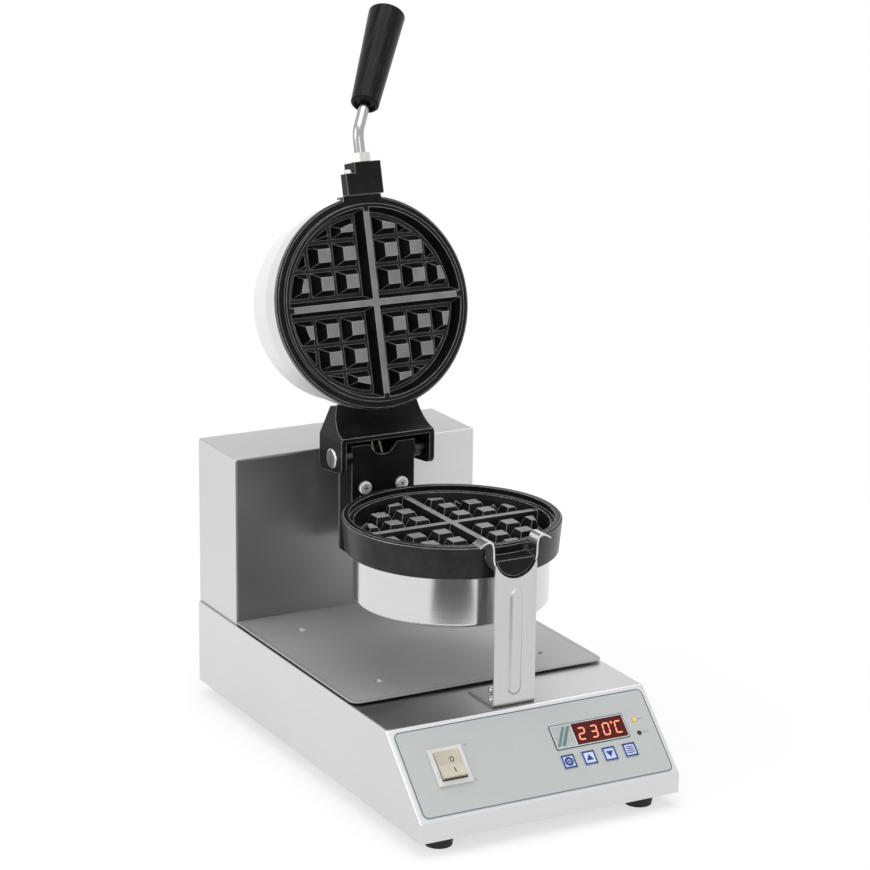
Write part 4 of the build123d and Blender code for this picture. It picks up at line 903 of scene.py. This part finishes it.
class WAFFLE_OT_small_parts(bpy.types.Operator):
    """Lay dark bars on the bracket screws as painted shade of their cross recesses, and lay the two wire
    sleeves in the notch
    """
    bl_idname = "waffle.small_parts"
    bl_label = "Small parts"

    def painted_cross_shade(self):
        """Two crossed dark bars on each screw head, painted as the shade in its cross recess, turned as the
        screws were left.
        """
        near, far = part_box("bracket_screws")
        height = (near[2] + far[2]) / 2
        upright = Matrix.Rotation(math.radians(90), 4, "X")
        bars = []
        for side in (-1, 1):
            place = Matrix.Translation((side * 0.0185, near[1] + 0.00003, height))
            for turn in (20, 110):
                bar = flat_bar("recess_shade_bar", -0.0026, 0.0026, -0.00045, 0.00045, 0.00008)
                settle(bar, place @ upright @ Matrix.Rotation(math.radians(turn + side * 25), 4, "Z"))
                bars.append(bar)
        return join("painted_cross_shade", bars)

    def wire_sleeves(self):
        """Two short woven sleeves that cross in the bracket's notch."""
        sleeves = []
        for x, slope in ((-0.0035, -0.10), (0.0055, -0.28)):
            deselect()
            bpy.ops.mesh.primitive_cylinder_add(vertices=20, radius=0.0009, depth=0.020)
            sleeve = new_piece("sleeve")
            settle(sleeve, Matrix.Translation((x, 0.0905, 0.2475)) @ Matrix.Rotation(slope, 4, "Y"))
            only(sleeve)
            bpy.ops.object.mode_set(mode="EDIT")
            bpy.ops.mesh.select_all(action="SELECT")
            bpy.ops.mesh.bevel(offset=0.0002, segments=2)
            bpy.ops.object.mode_set(mode="OBJECT")
            sleeves.append(sleeve)
        return join("wire_sleeves", sleeves)

    def execute(self, context):
        dress(self.painted_cross_shade(), printed_ink("recess_shadow", (0.05, 0.05, 0.05)), "rotor")
        dress(self.wire_sleeves(), mineral_wool("sleeve_weave"), "rotor")
        return {"FINISHED"}


class WAFFLE_OT_stage(bpy.types.Operator):
    """Set the floor, the lights and the camera"""
    bl_idname = "waffle.stage"
    bl_label = "Stage"

    def soft_light(self, name, place, aim, side, power):
        """A square area light that looks at a point."""
        deselect()
        bpy.ops.object.light_add(type="AREA", location=place)
        lamp = bpy.context.object
        lamp.name = name
        lamp.data.shape = "SQUARE"
        lamp.data.size = side
        lamp.data.energy = power
        lamp.rotation_euler = (Vector(aim) - Vector(place)).to_track_quat("-Z", "Y").to_euler()

    def pale_floor(self, stage):
        """A pale floor that the eye sees fade to white away from the object, with the shadow kept."""
        deselect()
        bpy.ops.mesh.primitive_plane_add(size=stage.floor_side, location=(0, 0, 0))
        floor = new_piece("floor")
        finish = Finish("pale_floor")
        finish.set(Base_Color=(0.93, 0.93, 0.93), Roughness=0.9)
        seen = finish.ray("Is Camera Ray") + finish.ray("Is Glossy Ray") + finish.ray("Is Transmission Ray")
        far = finish.axis("X") * finish.axis("X") + finish.axis("Y") * finish.axis("Y")
        finish.swap(seen * (0.62 + far.smooth(0.3, 1.3) * 0.38), "ShaderNodeEmission")
        floor.data.materials.append(finish.material)

    def dark_strips(self, stage):
        """Dark strips on the floor that only reflections show, as a studio sets them for steel."""
        strips = []
        for azimuth, width in ((-27, 0.48), (7, 0.14)):
            turn = math.radians(azimuth)
            away = Vector((math.sin(turn), -math.cos(turn), 0)) * stage.strip_reach
            deselect()
            bpy.ops.mesh.primitive_plane_add(size=1.0)
            strip = new_piece("dark_strip")
            strip.scale = (width, stage.strip_depth, 1.0)
            strip.rotation_euler = (0, 0, turn)
            strip.location = Vector((0, LOW_MIDDLE.y, 0.002)) + away
            settle(strip)
            strips.append(strip)
        card = join("dark_card", strips)
        finish = Finish("dark_card")
        finish.set(Base_Color=(0.02, 0.02, 0.02), Roughness=1.0)
        finish.swap(1 - finish.ray("Is Glossy Ray"), "ShaderNodeBsdfTransparent")
        card.data.materials.append(finish.material)

    def white_world(self, stage):
        """White to the camera and in reflections, and softer as light on the object."""
        world = bpy.data.worlds.new("studio")
        world.use_nodes = True
        tree = world.node_tree
        tree.nodes.clear()
        rays = tree.nodes.new("ShaderNodeLightPath")
        soft = tree.nodes.new("ShaderNodeBackground")
        soft.inputs["Strength"].default_value = stage.ambient
        white = tree.nodes.new("ShaderNodeBackground")
        white.inputs["Strength"].default_value = 1.0
        for node in (soft, white):
            node.inputs["Color"].default_value = (1, 1, 1, 1)
        seen = rays.outputs["Is Camera Ray"]
        for kind in ("Is Glossy Ray", "Is Transmission Ray"):
            either = tree.nodes.new("ShaderNodeMath")
            either.operation = "MAXIMUM"
            tree.links.new(seen, either.inputs[0])
            tree.links.new(rays.outputs[kind], either.inputs[1])
            seen = either.outputs[0]
        mixed = tree.nodes.new("ShaderNodeMixShader")
        out = tree.nodes.new("ShaderNodeOutputWorld")
        tree.links.new(seen, mixed.inputs[0])
        tree.links.new(soft.outputs[0], mixed.inputs[1])
        tree.links.new(white.outputs[0], mixed.inputs[2])
        tree.links.new(mixed.outputs[0], out.inputs["Surface"])
        return world

    def photo_camera(self, stage):
        """A camera at the photograph's viewing angle."""
        flat = math.cos(CAMERA_ELEVATION)
        back = Vector((math.sin(CAMERA_AZIMUTH) * flat, -math.cos(CAMERA_AZIMUTH) * flat,
                       math.sin(CAMERA_ELEVATION)))
        right = (-back).cross(Vector((0, 0, 1))).normalized()
        up = right.cross(-back)
        rolled_right = right * math.cos(CAMERA_ROLL) + up * math.sin(CAMERA_ROLL)
        rolled_up = up * math.cos(CAMERA_ROLL) - right * math.sin(CAMERA_ROLL)
        deselect()
        bpy.ops.object.camera_add()
        camera = bpy.context.object
        camera.name = "photo_camera"
        camera.data.sensor_width = 36.0
        camera.data.lens = stage.lens
        turn = Matrix((rolled_right, rolled_up, back)).transposed().to_4x4()
        camera.matrix_world = Matrix.Translation(CAMERA_PLACE) @ turn
        return camera

    def execute(self, context):
        stage = context.scene.waffle_stage
        context.scene.view_settings.view_transform = "Standard"
        self.pale_floor(stage)
        self.dark_strips(stage)
        context.scene.world = self.white_world(stage)
        self.soft_light("side_light", (-2.2, 0.4, 1.5), (0, 0, 0.2), 1.8, stage.key_light)
        self.soft_light("top_light", (0.3, 0.2, 2.4), (0, 0, 0.1), 2.0, stage.top_light)
        self.soft_light("front_light", (-0.6, -2.8, 1.6), (0, 0, 0.2), 1.2, stage.key_light * 0.4)
        bpy.context.scene.camera = self.photo_camera(stage)
        return {"FINISHED"}


class WAFFLE_PT_sidebar(bpy.types.Panel):
    """Lists the steps that dress the waffle maker"""
    bl_label = "Waffle Maker"
    bl_idname = "WAFFLE_PT_sidebar"
    bl_space_type = "VIEW_3D"
    bl_region_type = "UI"
    bl_category = "Waffle Maker"

    def draw(self, context):
        for group in (context.scene.waffle_panel, context.scene.waffle_colours, context.scene.waffle_stage):
            box = self.layout.box()
            for key in group.bl_rna.properties.keys():
                if key not in ("rna_type", "name"):
                    box.prop(group, key)
        for step in STEPS:
            self.layout.operator(step.bl_idname)


STEPS = (WAFFLE_OT_finishes, WAFFLE_OT_label_print, WAFFLE_OT_display, WAFFLE_OT_key_signs,
         WAFFLE_OT_rocker_marks, WAFFLE_OT_small_parts, WAFFLE_OT_stage)
CLASSES = (WAFFLE_PG_panel, WAFFLE_PG_colours, WAFFLE_PG_stage, *STEPS, WAFFLE_PT_sidebar)


def register():
    for made in CLASSES:
        bpy.utils.register_class(made)
    bpy.types.Scene.waffle_panel = PointerProperty(type=WAFFLE_PG_panel)
    bpy.types.Scene.waffle_colours = PointerProperty(type=WAFFLE_PG_colours)
    bpy.types.Scene.waffle_stage = PointerProperty(type=WAFFLE_PG_stage)


def unregister():
    del bpy.types.Scene.waffle_stage
    del bpy.types.Scene.waffle_colours
    del bpy.types.Scene.waffle_panel
    for made in reversed(CLASSES):
        bpy.utils.unregister_class(made)


def main():
    register()
    bpy.ops.waffle.finishes()
    bpy.ops.waffle.label_print()
    bpy.ops.waffle.display()
    bpy.ops.waffle.key_signs()
    bpy.ops.waffle.rocker_marks()
    bpy.ops.waffle.small_parts()
    bpy.ops.waffle.stage()


if __name__ == "__main__":
    main()
